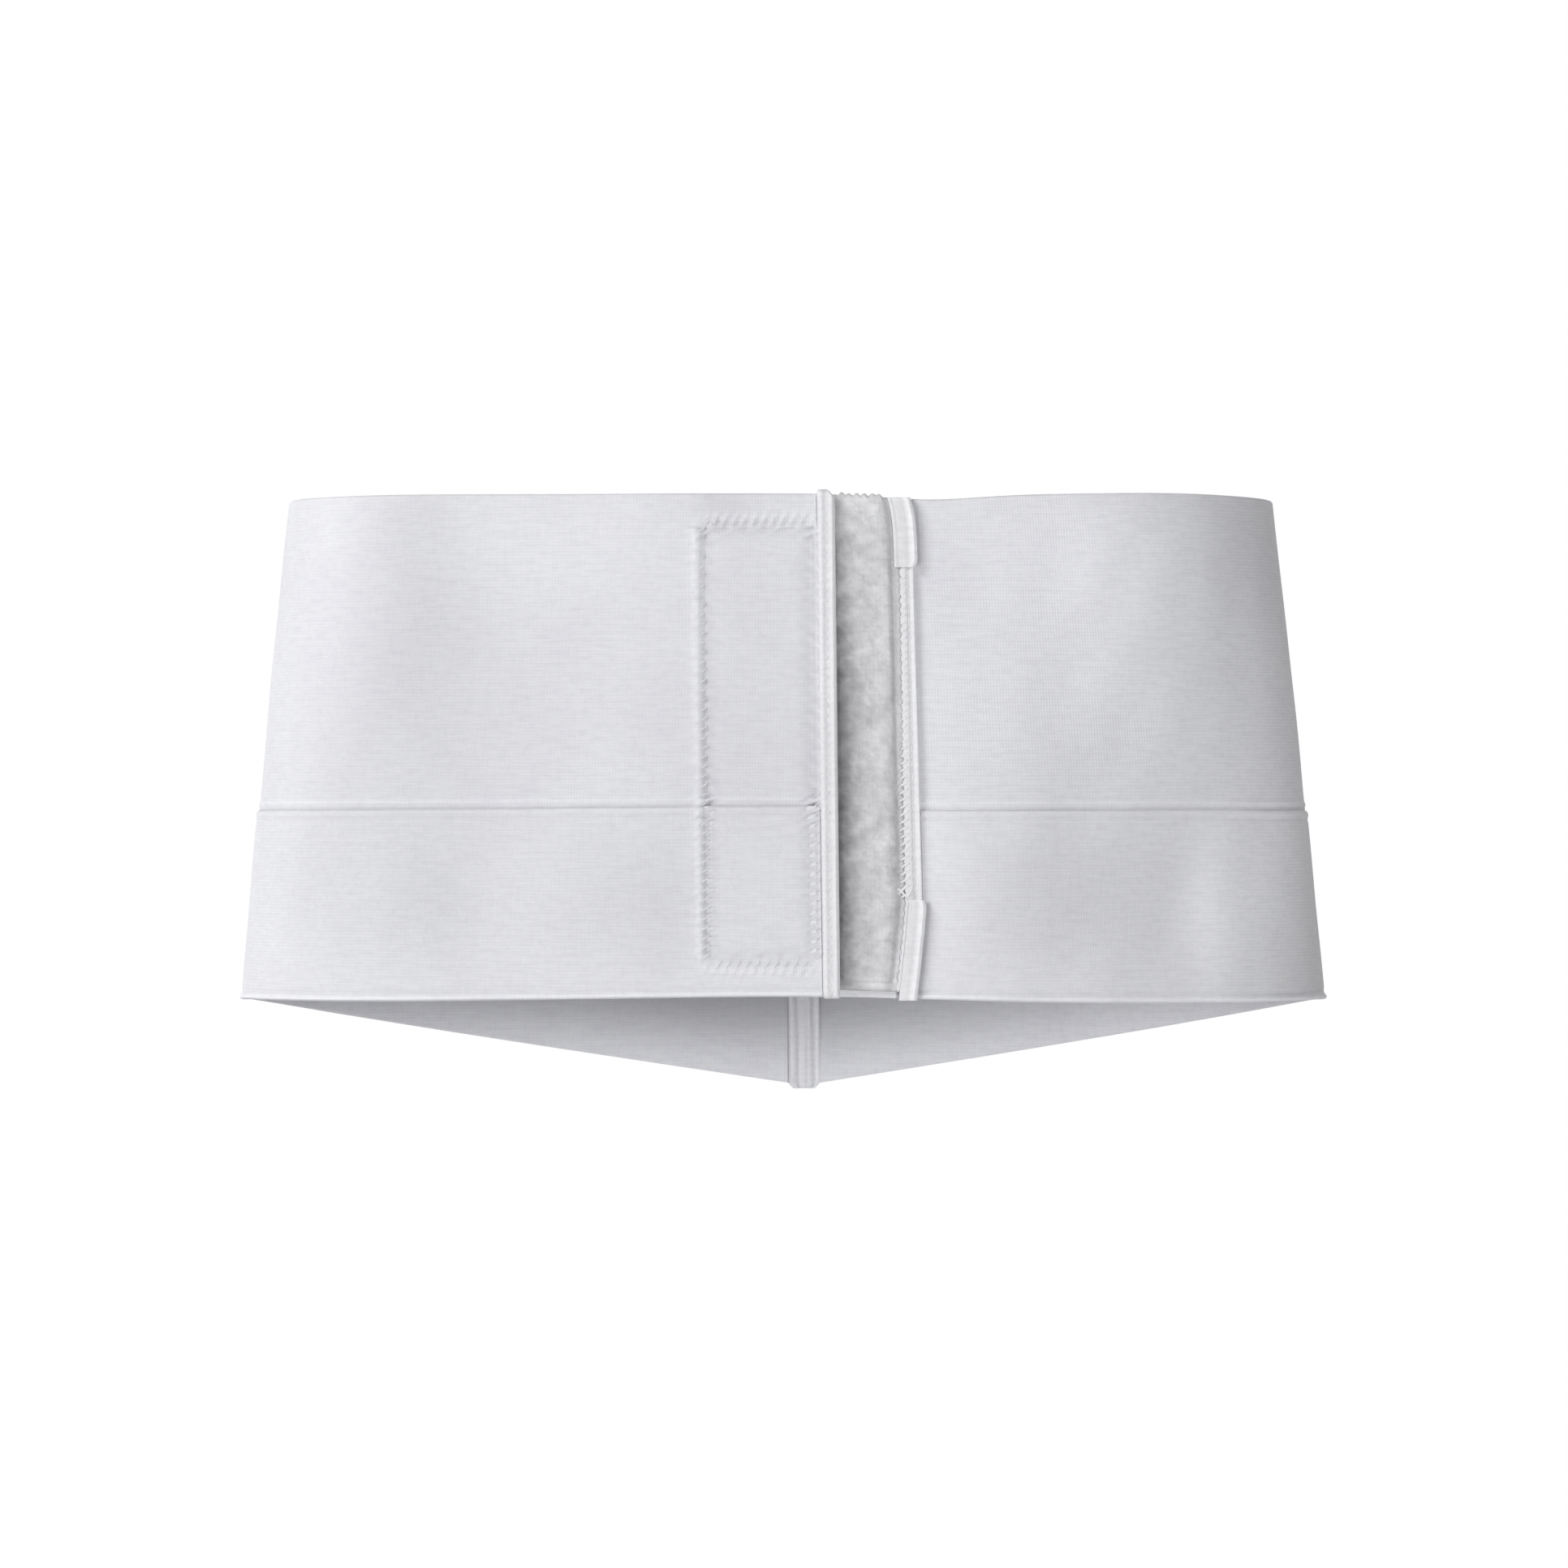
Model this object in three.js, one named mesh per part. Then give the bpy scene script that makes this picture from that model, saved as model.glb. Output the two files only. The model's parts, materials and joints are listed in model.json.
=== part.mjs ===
// An abdominal binder: a closed elastic band for the trunk, fastened at the front with hook and loop.
// Millimetres, +Z up. The origin is on the trunk's axis at half the height of the side.
// The wearer faces -Y, so the wearer's right is -X, and the closure is near X = 0.
import * as THREE from "three";

// The trunk that the binder is wrapped round, measured on the binder's inner face.
const topWidth = 313.4; // side to side at the top edge
const bottomWidth = 344.4; // side to side at the bottom corners
const sideBow = 0.5; // how far each side swells between those two
const topDepth = 219; // front to back at the top edge
const bottomDepth = 235; // front to back at the bottom corners
const sideHeight = 160; // top edge to bottom edge at the side
const topLean = -0.8; // how far the top edge's middle lies to the side
const frontSquareness = 2.5; // 2 is an ellipse, and more is squarer
const backSquareness = 2.2;

// The lower and upper outline.
const backDrop = 31.2; // how far the bottom edge falls from the side to the back seam
const backDropBend = 0.85; // under 1, the fall starts early and ends straight
const frontRise = 0.6; // how far the bottom edge rises from the side to the front
const seamShare = 0.379; // the lower band's top edge, as a share of the height

// Cloth and tape thicknesses, and the air left between two pieces.
const gap = 0.3;
const panelWall = 1.6;
const backedWall = 1.0; // the panel's, where the band lies over it
const bandWall = 1.0;
const loopWall = 1.8; // base cloth and pile
const loopSelvage = 0.8; // base cloth alone, at the sewn edge
const hookWall = 1.0;
const bindingWall = 0.9;
const edgeTapeWall = 0.8;
const tabWall = 0.9;
const seamTapeWall = 1.2;

// The closure, as places across the front at half height.
const closureSlant = 1.7; // how far the lapping edge moves across from the top edge to the bottom one
const lapEdge = 16.8; // the lapping panel's bound edge
const bindingWidth = 5.6;
const hookWidth = 38; // from the binding's inner side
const hookMargin = 7; // from the hook patch's ends to the top and bottom edges
const underlapEdge = 41.9; // the loop panel's sewn edge
const underlapSlant = 4.3;
const loopWidth = 72;
const underlapWidth = 75; // the left panel's hidden stretch under the lap and the loop panel
const loopMargin = 2.3; // from the loop panel's lower end to the bottom edge
const pileMargin = 8.2; // from the pile's side to the sewn edge
const pileSlope = 1.6; // the width in which the pile falls to the base cloth
const edgeTapeWidth = 5.2;
const edgeTapeMargin = 0.4; // from the loop panel's edge to the tape's
const rampWidth = 48; // the stretch in which the lapping panel climbs onto the underlap
const bindingOver = 1.4; // how far the binding stands above the top edge
const bindingUnder = 0.4; // and below the bottom edge

// The folded tabs over the two ends of the underlap's edge.
const tabWidth = 6.3;
const upperTabLength = 23; // each tab's length is counted from the level of the sides' corners
const lowerTabLength = 33.5;
const tabOver = 0.4; // how far a tab stands past the top or bottom edge
const upperCornerLean = 2.1; // how far the sewn edge turns in at its top corner
const upperCornerBend = 4; // the power with which it turns in
const lowerCornerLean = 4.2;
const lowerCornerBend = 1.2;

// The back seam and the tape over it.
const backSeam = 6.9; // its place across the back
const seamTapeWidth = 10.3;
const seamTapeUnder = 1.0; // how far the tape's end shows below the seam's

// The relief of a folded edge: how far it stands out, and how high it is.
const hemHeight = 2.2;
const hemBulge = 0.35;

// Soft dents (minus) and swellings (plus) in the front. The place across and the width are shares of half
// the bottom width, the level and the height are shares of the side's height, and the depth is in walls.
const dents = [
  { at: -0.42, level: 0.9, across: 0.16, tall: 0.26, depth: 0.7 },
  { at: -0.66, level: 0.72, across: 0.1, tall: 0.4, depth: -0.5 },
  { at: -0.6, level: 0.18, across: 0.13, tall: 0.18, depth: -0.65 },
  { at: -0.26, level: 0.2, across: 0.12, tall: 0.2, depth: -0.6 },
  { at: 0.52, level: 0.62, across: 0.14, tall: 0.3, depth: -0.6 },
  { at: 0.47, level: 0.2, across: 0.13, tall: 0.24, depth: -0.55 },
  { at: 0.72, level: 0.26, across: 0.06, tall: 0.16, depth: -0.75 },
  { at: 0.82, level: 0.14, across: 0.07, tall: 0.24, depth: 0.5 },
];

// Waves of the front's two edges. The place and spread are shares of half the bottom width, and the rise is
// a share of the side's height.
const topWaves = [
  { at: 0.27, spread: 0.12, rise: -0.0105 },
  { at: 0.72, spread: 0.2, rise: 0.0065 },
  { at: -0.72, spread: 0.2, rise: 0.003 },
];
const bottomWaves = [
  { at: -0.4, spread: 0.35, rise: 0.007 },
  { at: 0.05, spread: 0.35, rise: 0.0145 },
];

// How finely the nets are divided.
const panelColumns = 49;
const bandColumns = 50;
const stripRows = 12;
const clothColumns = 7; // of the hook patch and the pile
const patchRows = 8;

const top = sideHeight / 2;
const bottom = -sideHeight / 2;

// The levels of the layers at the closure, counted outwards from the trunk.
const loopIn = Math.max(panelWall, backedWall) + gap;
const loopOut = loopIn + loopWall;
const selvageOut = loopIn + loopSelvage;
const edgeTapeIn = selvageOut + gap;
const edgeTapeOut = edgeTapeIn + edgeTapeWall;
const tabIn = edgeTapeOut + gap;
const tabOut = tabIn + tabWall;
const hookIn = loopOut + gap;
const hookOut = hookIn + hookWall;
const lapIn = Math.max(hookOut, hookIn + bindingWall) + gap;
const bandIn = backedWall + gap;
const bandOut = bandIn + bandWall;

const mix = (from, to, share) => from + (to - from) * share;
const clamp = (value) => Math.min(1, Math.max(0, value));
const smooth = (share) => clamp(share) ** 2 * (3 - 2 * clamp(share));
const steps = (count) => Array.from({ length: count + 1 }, (_, i) => i / count);

const heightShare = (z) => (z - bottom) / sideHeight;
const bow = (z) => sideBow * 4 * heightShare(z) * (1 - heightShare(z));
const halfWidth = (z) => mix(bottomWidth, topWidth, heightShare(z)) / 2 + bow(z);
const halfDepth = (z) => mix(bottomDepth, topDepth, heightShare(z)) / 2;
const lean = (z) => topLean * heightShare(z);

// The angle round the trunk's axis of a place across the front or the back: 0 is the front, and it grows
// towards +X.
function angleAt(x, z, side) {
  const power = side === "back" ? backSquareness : frontSquareness;
  const across = (x - lean(z)) / halfWidth(z);
  const depth = halfDepth(z) * (1 - Math.abs(across) ** power) ** (1 / power);
  return Math.atan2(x - lean(z), side === "back" ? -depth : depth);
}

// The trunk's section at one level, as a point without its lean: |x / a| ** n + |y / b| ** n = 1.
function sectionPoint(angle, z) {
  const sine = Math.sin(angle);
  const cosine = Math.cos(angle);
  const power = cosine < 0 ? backSquareness : frontSquareness;
  const a = halfWidth(z);
  const b = halfDepth(z);
  const radius = (Math.abs(sine / a) ** power + Math.abs(cosine / b) ** power) ** (-1 / power);
  return { x: radius * sine, y: -radius * cosine, a, b, power };
}

// 1 over most of the front, falling to 0 at the sides.
const frontness = ({ y, b }) => smooth(-y / (0.35 * b));

const bell = (distance, spread) => Math.exp(-((distance / spread) ** 2));

// What the cloth's soft dents add to the section at a place.
function dentAt(point, z) {
  const half = bottomWidth / 2;
  const sum = dents.reduce(
    (total, dent) =>
      total +
      dent.depth *
        panelWall *
        bell(point.x - dent.at * half, dent.across * half) *
        bell(heightShare(z) - dent.level, dent.tall),
    0,
  );
  return sum * frontness(point);
}

// The point of the trunk's form at an angle and a level, moved outwards by so many millimetres.
function onForm(angle, z, out) {
  const point = sectionPoint(angle, z);
  const { x, y, a, b, power } = point;
  const across = (Math.sign(x) * Math.abs(x / a) ** (power - 1)) / a;
  const along = (Math.sign(y) * Math.abs(y / b) ** (power - 1)) / b;
  const move = (out + dentAt(point, z)) / Math.hypot(across, along);
  return new THREE.Vector3(x + lean(z) + across * move, y + along * move, z);
}

// What an edge's waves add to its level at a place on the front.
function waveAt(waves, point) {
  const half = bottomWidth / 2;
  const sum = waves.reduce(
    (total, wave) => total + wave.rise * bell(point.x - wave.at * half, wave.spread * half),
    0,
  );
  return sum * sideHeight * frontness(point);
}

// The level of the bottom edge: it rises a little in front and falls to the back seam.
function bottomEdge(angle) {
  const point = sectionPoint(angle, bottom);
  const { x, y } = point;
  if (y > 0) {
    const half = bottomWidth / 2;
    const toSeam = x < backSeam ? (half + x) / (half + backSeam) : (half - x) / (half - backSeam);
    return bottom - backDrop * clamp(toSeam) ** backDropBend;
  }
  return bottom + frontRise * frontness(point) + waveAt(bottomWaves, point);
}

const topEdge = (angle) => top + waveAt(topWaves, sectionPoint(angle, top));

const levelAt = (angle, share) => mix(bottomEdge(angle), topEdge(angle), share);

// A line of the lapping edge: it crosses half height at x, and slants.
const closureLine = (x) => (z) => x - (closureSlant * z) / sideHeight;

// The levels between which the two tabs leave the sewn edge bare.
const upperTabFoot = top - upperTabLength;
const lowerTabHead = bottom + lowerTabLength;

// The underlap's sewn edge: a slanting line that turns in at its two corners.
function underlapLine(z) {
  const high = clamp((z - upperTabFoot) / upperTabLength) ** upperCornerBend;
  const low = clamp((lowerTabHead - z) / lowerTabLength) ** lowerCornerBend;
  const turn = upperCornerLean * high + lowerCornerLean * low;
  return underlapEdge - (underlapSlant * z) / sideHeight - turn;
}

// How far the lapping panel's inner face stands off the trunk at a place on it.
function lapLift({ x, y }) {
  const start = lapEdge - bindingWidth - hookWidth - rampWidth - gap;
  return y < 0 ? lapIn * smooth((x - start) / rampWidth) : 0;
}

// A closed solid between an outer and an inner net of points. Rows run up, and columns run towards +X
// along the front, so that the faces point outwards.
function sheetGeometry(outer, inner) {
  const rows = outer.length;
  const columns = outer[0].length;
  const positions = [...outer.flat(), ...inner.flat()].flatMap((p) => [p.x, p.y, p.z]);
  const index = [];
  const out = (row, column) => row * columns + column;
  const into = (row, column) => rows * columns + row * columns + column;
  const quad = (a, b, c, d) => index.push(a, b, c, a, c, d);
  for (let r = 0; r < rows - 1; r++) {
    for (let c = 0; c < columns - 1; c++) {
      quad(out(r, c), out(r, c + 1), out(r + 1, c + 1), out(r + 1, c));
      quad(into(r, c), into(r + 1, c), into(r + 1, c + 1), into(r, c + 1));
    }
    quad(out(r, 0), out(r + 1, 0), into(r + 1, 0), into(r, 0));
    quad(out(r, columns - 1), into(r, columns - 1), into(r + 1, columns - 1), out(r + 1, columns - 1));
  }
  for (let c = 0; c < columns - 1; c++) {
    quad(out(0, c), into(0, c), into(0, c + 1), out(0, c + 1));
    quad(out(rows - 1, c), out(rows - 1, c + 1), into(rows - 1, c + 1), into(rows - 1, c));
  }
  const geometry = new THREE.BufferGeometry();
  geometry.setAttribute("position", new THREE.Float32BufferAttribute(positions, 3));
  geometry.setIndex(index);
  geometry.computeVertexNormals();
  return geometry;
}

// A sheet that lies on the trunk between two angles. Each row has its share of the full height and the
// distance of its outer face, and `lift` is what both faces stand off the trunk at a place.
function wrappedSheet({ columns, rows, start, end, lift, inner }) {
  const net = (distance) =>
    rows.map((row) => {
      const level = mix(bottom, top, row.share);
      const from = start(levelAt(start(level), row.share));
      const to = end(levelAt(end(level), row.share));
      return steps(columns).map((step) => {
        const angle = mix(from, to, step);
        const z = levelAt(angle, row.share);
        return onForm(angle, z, lift(onForm(angle, z, 0)) + distance(row));
      });
    });
  return sheetGeometry(
    net((row) => row.out),
    net(() => inner),
  );
}

// A strip on the front or the back. Its section is a row of matched outer and inner points, each with a
// place across and a distance from the trunk, and it runs between two levels.
function strip({ section, low, high, side = "front", rows = stripRows }) {
  const point = (entry, share, place) => {
    const guess = angleAt(place(entry, 0).x, 0, side);
    const z = mix(low(guess), high(guess), share);
    const { x, out } = place(entry, z);
    return onForm(angleAt(x, z, side), z, out);
  };
  const net = (face) =>
    steps(rows).map((share) => section.map((entry) => point(entry, share, (e, z) => e(z)[face])));
  return sheetGeometry(net("outer"), net("inner"));
}

// One matched pair of section points.
const pair = (outerX, outerOut, innerX, innerOut) => (z) => ({
  outer: { x: outerX(z), out: outerOut },
  inner: { x: innerX(z), out: innerOut },
});

const cloth = (color, roughness) => new THREE.MeshStandardMaterial({ color, roughness, metalness: 0 });
const elasticCloth = cloth(0xe6e6e9, 0.85);
const bandCloth = cloth(0xe4e4e8, 0.85);
const tapeCloth = cloth(0xf0f0f2, 0.7);
const pileCloth = cloth(0xd9dadc, 0.95);
const hookCloth = cloth(0xe0e0e2, 0.6);

const binder = new THREE.Group();
function add(name, geometry, material) {
  const mesh = new THREE.Mesh(geometry, material);
  mesh.name = name;
  binder.add(mesh);
}

// The wearer's right panel and its band reach the back seam the long way round, past -X.
const wholeTurn = 2 * Math.PI;
const rightBack = (z) => angleAt(backSeam - gap / 2, z, "back") - wholeTurn;
const leftBack = (z) => angleAt(backSeam + gap / 2, z, "back");
const frontAngle = (line) => (z) => angleAt(line(z), z, "front");

const panelEnd = closureLine(lapEdge - bindingWall - gap);
const bindingSide = closureLine(lapEdge - bindingWidth);
const underlapEnd = closureLine(underlapEdge - underlapWidth);

// A panel's rows. Its wall steps out just above the band's top edge.
const stepStart = seamShare + gap / sideHeight;
const stepEnd = stepStart + gap / sideHeight;
const panelRows = [
  ...[0, 0.13, 0.27, stepStart].map((share) => ({ share, out: backedWall })),
  ...[stepEnd, 0.54, 0.7, 0.84, 0.95, 1].map((share) => ({ share, out: panelWall })),
];

function panel(start, end, lift) {
  return wrappedSheet({ columns: panelColumns, rows: panelRows, start, end, lift, inner: 0 });
}

// A lower band's rows: a rolled hem at the bottom, and a folded edge with a stitched groove at the top.
// `up` is a share of the band's height, and `relief` is what the row adds to its outer face, in hem bulges.
const hemShare = hemHeight / (seamShare * sideHeight);
const bandRows = [
  { up: 0, relief: -0.85 },
  { up: 0.35 * hemShare, relief: 1 },
  { up: 0.75 * hemShare, relief: 0.7 },
  { up: 1.15 * hemShare, relief: 0 },
  { up: 0.17, relief: 0 },
  { up: 0.35, relief: 0 },
  { up: 0.53, relief: 0 },
  { up: 0.72, relief: 0 },
  { up: 1 - 1.1 * hemShare, relief: 0 },
  { up: 1 - 0.75 * hemShare, relief: -0.5 },
  { up: 1 - 0.4 * hemShare, relief: 0.5 },
  { up: 1, relief: -0.85 },
].map(({ up, relief }) => ({ share: up * seamShare, out: bandOut + relief * hemBulge }));

function lowerBand(start, end, lift) {
  return wrappedSheet({ columns: bandColumns, rows: bandRows, start, end, lift, inner: bandIn });
}

// The folded tape round the lapping edge: an outer leg with two ridges, the fold, and an inner leg.
function frontEdgeBinding() {
  const legOut = lapIn + panelWall + gap + bindingWall;
  const ridge = 0.35 * bindingWall;
  const foldMiddle = (hookIn + legOut) / 2;
  const across = (share) => closureLine(lapEdge - bindingWidth * (1 - share));
  const slotEnd = closureLine(lapEdge - bindingWall);
  const slotIn = hookIn + bindingWall;
  const slotOut = legOut - bindingWall;
  return strip({
    section: [
      pair(across(0), legOut - 0.4 * bindingWall, across(0), slotOut),
      pair(across(0.07), legOut + ridge * 0.7, across(0.07), slotOut),
      pair(across(0.22), legOut + ridge, across(0.22), slotOut),
      pair(across(0.36), legOut - ridge * 0.3, across(0.36), slotOut),
      pair(across(0.48), legOut - ridge * 0.3, across(0.48), slotOut),
      pair(across(0.62), legOut + ridge, across(0.62), slotOut),
      pair(across(0.82), legOut + ridge * 0.6, slotEnd, slotOut),
      pair(across(0.96), mix(foldMiddle, legOut, 0.7), slotEnd, mix(foldMiddle, slotOut, 0.7)),
      pair(across(1), foldMiddle, slotEnd, foldMiddle),
      pair(across(0.96), mix(foldMiddle, hookIn, 0.75), slotEnd, mix(foldMiddle, slotIn, 0.75)),
      pair(across(0.85), hookIn, slotEnd, slotIn),
      pair(across(0.4), hookIn, across(0.4), slotIn),
      pair(across(0), hookIn, across(0), slotIn),
    ],
    low: (angle) => bottomEdge(angle) - bindingUnder,
    high: (angle) => topEdge(angle) + bindingOver,
  });
}

// The hook strip behind the lapping edge.
function hookPatch() {
  const right = closureLine(lapEdge - bindingWidth - gap);
  const across = (share) => (z) => right(z) - hookWidth * (1 - share);
  return strip({
    section: steps(clothColumns).map((share) => pair(across(share), hookOut, across(share), hookIn)),
    low: (angle) => bottomEdge(angle) + hookMargin,
    high: (angle) => topEdge(angle) - hookMargin,
    rows: patchRows,
  });
}

// The pile strip on the underlap: it thins to its base cloth at the sewn edge.
function loopPanel() {
  const hidden = closureLine(underlapEdge - loopWidth);
  const fromEdge = (distance) => (z) => underlapLine(z) - distance;
  const pileSide = fromEdge(pileMargin);
  const pileAcross = (share) => (z) => mix(hidden(z), pileSide(z), share);
  return strip({
    section: [
      ...steps(clothColumns).map((share) => pair(pileAcross(share), loopOut, pileAcross(share), loopIn)),
      pair(fromEdge(pileMargin - pileSlope), selvageOut, fromEdge(pileMargin - pileSlope), loopIn),
      pair(fromEdge(0), selvageOut, fromEdge(0), loopIn),
    ],
    low: (angle) => bottomEdge(angle) + loopMargin,
    high: (angle) => topEdge(angle),
  });
}

// The narrow tape down the underlap's sewn edge, with a stitched groove.
function loopEdgeTape() {
  const across = (share) => (z) => underlapLine(z) - edgeTapeMargin - edgeTapeWidth * (1 - share);
  const profile = [
    { share: 0, height: 0.6 },
    { share: 0.1, height: 1 },
    { share: 0.45, height: 1 },
    { share: 0.55, height: 0.7 },
    { share: 0.65, height: 1 },
    { share: 0.92, height: 1 },
    { share: 1, height: 0.6 },
  ];
  return strip({
    section: profile.map(({ share, height }) =>
      pair(across(share), edgeTapeIn + edgeTapeWall * height, across(share), edgeTapeIn),
    ),
    low: (angle) => bottomEdge(angle) + loopMargin,
    high: (angle) => topEdge(angle),
  });
}

// A tab folded over the underlap's edge: flat on the tape, then down beside it to the cloth under it.
function edgeTab({ foot, low, high }) {
  const fold = (distance) => (z) => underlapLine(z) + tabWall + gap - distance;
  return strip({
    section: [
      pair(fold(tabWidth), tabOut - 0.4 * tabWall, fold(tabWidth), tabIn),
      pair(fold(tabWidth * 0.92), tabOut, fold(tabWidth * 0.92), tabIn),
      pair(fold(tabWidth * 0.5), tabOut, fold(tabWidth * 0.5), tabIn),
      pair(fold(tabWall), tabOut, fold(tabWall), tabIn),
      pair(fold(tabWall * 0.3), mix(tabIn, tabOut, 0.6), fold(tabWall), mix(foot, tabIn, 0.8)),
      pair(fold(0), mix(foot, tabOut, 0.5), fold(tabWall), mix(foot, tabIn, 0.4)),
      pair(fold(tabWall * 0.1), foot, fold(tabWall), foot),
    ],
    low,
    high,
  });
}

// The tape over the back seam, inside the binder: a casing with a stitched groove down each side.
function backSeamTape() {
  const profile = [
    { share: 0, height: 0.5 },
    { share: 0.08, height: 0.95 },
    { share: 0.18, height: 0.8 },
    { share: 0.27, height: 0.55 },
    { share: 0.36, height: 0.9 },
    { share: 0.64, height: 0.9 },
    { share: 0.73, height: 0.55 },
    { share: 0.82, height: 0.8 },
    { share: 0.92, height: 1 },
    { share: 1, height: 0.5 },
  ];
  const seamBottom = bottom - backDrop;
  const across = (share) => () => backSeam + seamTapeWidth * (0.5 - share);
  return strip({
    section: profile.map(({ share, height }) =>
      pair(across(share), -gap, across(share), -gap - seamTapeWall * height),
    ),
    side: "back",
    low: () => seamBottom - seamTapeUnder,
    high: () => top,
  });
}

// The right band stops at the binding, and the left one runs under the lower tab to the sewn edge.
const rightBandFront = (z) => bindingSide(z) - gap;
const leftBandFront = (z) => underlapLine(z) + gap;
const noLift = () => 0;

add("right_panel", panel(rightBack, frontAngle(panelEnd), lapLift), elasticCloth);
add("left_panel", panel(frontAngle(underlapEnd), leftBack, noLift), elasticCloth);
add("right_lower_band", lowerBand(rightBack, frontAngle(rightBandFront), lapLift), bandCloth);
add("left_lower_band", lowerBand(frontAngle(leftBandFront), leftBack, noLift), bandCloth);
add("front_edge_binding", frontEdgeBinding(), tapeCloth);
add("hook_patch", hookPatch(), hookCloth);
add("loop_panel", loopPanel(), pileCloth);
add("loop_edge_tape", loopEdgeTape(), tapeCloth);
add(
  "upper_edge_tab",
  edgeTab({
    foot: panelWall + gap,
    low: () => upperTabFoot,
    high: (angle) => topEdge(angle) + tabOver,
  }),
  tapeCloth,
);
add(
  "lower_edge_tab",
  edgeTab({
    foot: bandOut + hemBulge + gap,
    low: (angle) => bottomEdge(angle) - tabOver,
    high: () => lowerTabHead,
  }),
  tapeCloth,
);
add("back_seam_tape", backSeamTape(), tapeCloth);

export default binder;
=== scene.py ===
import json
import math

import bpy
import numpy as np
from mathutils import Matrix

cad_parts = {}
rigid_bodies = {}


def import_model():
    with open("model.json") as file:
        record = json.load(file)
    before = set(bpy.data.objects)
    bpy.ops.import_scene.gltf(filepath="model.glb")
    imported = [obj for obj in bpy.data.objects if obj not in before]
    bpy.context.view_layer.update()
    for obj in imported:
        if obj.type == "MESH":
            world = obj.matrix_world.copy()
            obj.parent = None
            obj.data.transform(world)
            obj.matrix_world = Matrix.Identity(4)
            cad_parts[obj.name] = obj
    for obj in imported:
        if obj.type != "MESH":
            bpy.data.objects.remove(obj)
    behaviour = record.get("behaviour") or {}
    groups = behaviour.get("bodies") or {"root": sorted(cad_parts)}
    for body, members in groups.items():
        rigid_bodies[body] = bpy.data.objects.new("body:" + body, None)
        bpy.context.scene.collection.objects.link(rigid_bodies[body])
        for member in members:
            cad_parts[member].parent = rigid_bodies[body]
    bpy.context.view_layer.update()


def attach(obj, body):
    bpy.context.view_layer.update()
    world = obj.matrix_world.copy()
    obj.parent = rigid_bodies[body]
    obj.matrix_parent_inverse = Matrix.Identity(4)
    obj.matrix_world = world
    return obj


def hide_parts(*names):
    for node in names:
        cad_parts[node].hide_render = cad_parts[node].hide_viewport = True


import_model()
mm = 0.001
wholeTurn = 2 * math.pi
print("binder: the packed part is in")


# The trunk that the binder is wrapped round. The part's source has the same values and formulas.
trunk = {
    "topWidth": 313.4 * mm,
    "bottomWidth": 344.4 * mm,
    "sideBow": 0.5 * mm,  # how far each side swells between those two
    "topDepth": 219 * mm,
    "bottomDepth": 235 * mm,
    "sideHeight": 160 * mm,
    "topLean": -0.8 * mm,  # how far the top edge's middle lies to the side
    "frontSquareness": 2.5,  # 2 is an ellipse, and more is squarer
    "backSquareness": 2.2,
    "frontFade": 0.35,  # of the half depth: the front's relief fades out over it, towards the sides
}
outline = {
    "backDrop": 31.2 * mm,  # how far the bottom edge falls to the back seam
    "backDropBend": 0.85,
    "frontRise": 0.6 * mm,
    "seamShare": 0.379,  # the lower band's top edge, as a share of the height
}
walls = {
    "gap": 0.3 * mm,  # the air between two sewn pieces
    "panel": 1.6 * mm,
    "backed": 1.0 * mm,  # the panel's wall behind the band
    "band": 1.0 * mm,
    "loop": 1.8 * mm,
    "selvage": 0.8 * mm,
    "hook": 1.0 * mm,
    "binding": 0.9 * mm,
    "edgeTape": 0.8 * mm,
    "tab": 0.9 * mm,
    "seamTape": 1.2 * mm,
}
closure = {
    "slant": 1.7 * mm,  # how far the lapping edge moves across from top to bottom
    "lapEdge": 16.8 * mm,
    "bindingWidth": 5.6 * mm,
    "hookWidth": 38 * mm,
    "hookMargin": 7 * mm,
    "hookHeight": 146 * mm,  # its slack size
    "underlapEdge": 41.9 * mm,
    "underlapSlant": 4.3 * mm,
    "loopWidth": 72 * mm,
    "underlapWidth": 75 * mm,
    "loopMargin": 2.3 * mm,
    "pileMargin": 8.2 * mm,
    "rampWidth": 48 * mm,
    "upperTabLength": 23 * mm,
    "lowerTabLength": 33.5 * mm,
    "upperCornerLean": 2.1 * mm,
    "upperCornerBend": 4,
    "lowerCornerLean": 4.2 * mm,
    "lowerCornerBend": 1.2,
}
backSeam = 6.9 * mm  # the back seam's place across

# Soft dents and swellings of the front: place across and width in shares of half the bottom width, level
# and height in shares of the side's height, depth in panel walls.
dents = np.array([
    (-0.42, 0.9, 0.16, 0.26, 0.7),
    (-0.66, 0.72, 0.1, 0.4, -0.5),
    (-0.6, 0.18, 0.13, 0.18, -0.65),
    (-0.26, 0.2, 0.12, 0.2, -0.6),
    (0.52, 0.62, 0.14, 0.3, -0.6),
    (0.47, 0.2, 0.13, 0.24, -0.55),
    (0.72, 0.26, 0.06, 0.16, -0.75),
    (0.82, 0.14, 0.07, 0.24, 0.5),
])
# Waves of the front's two edges: place, spread, and rise as a share of the side's height.
topWaves = ((0.27, 0.12, -0.0105), (0.72, 0.2, 0.0065), (-0.72, 0.2, 0.003))
bottomWaves = ((-0.4, 0.35, 0.007), (0.05, 0.35, 0.0145))

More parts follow.
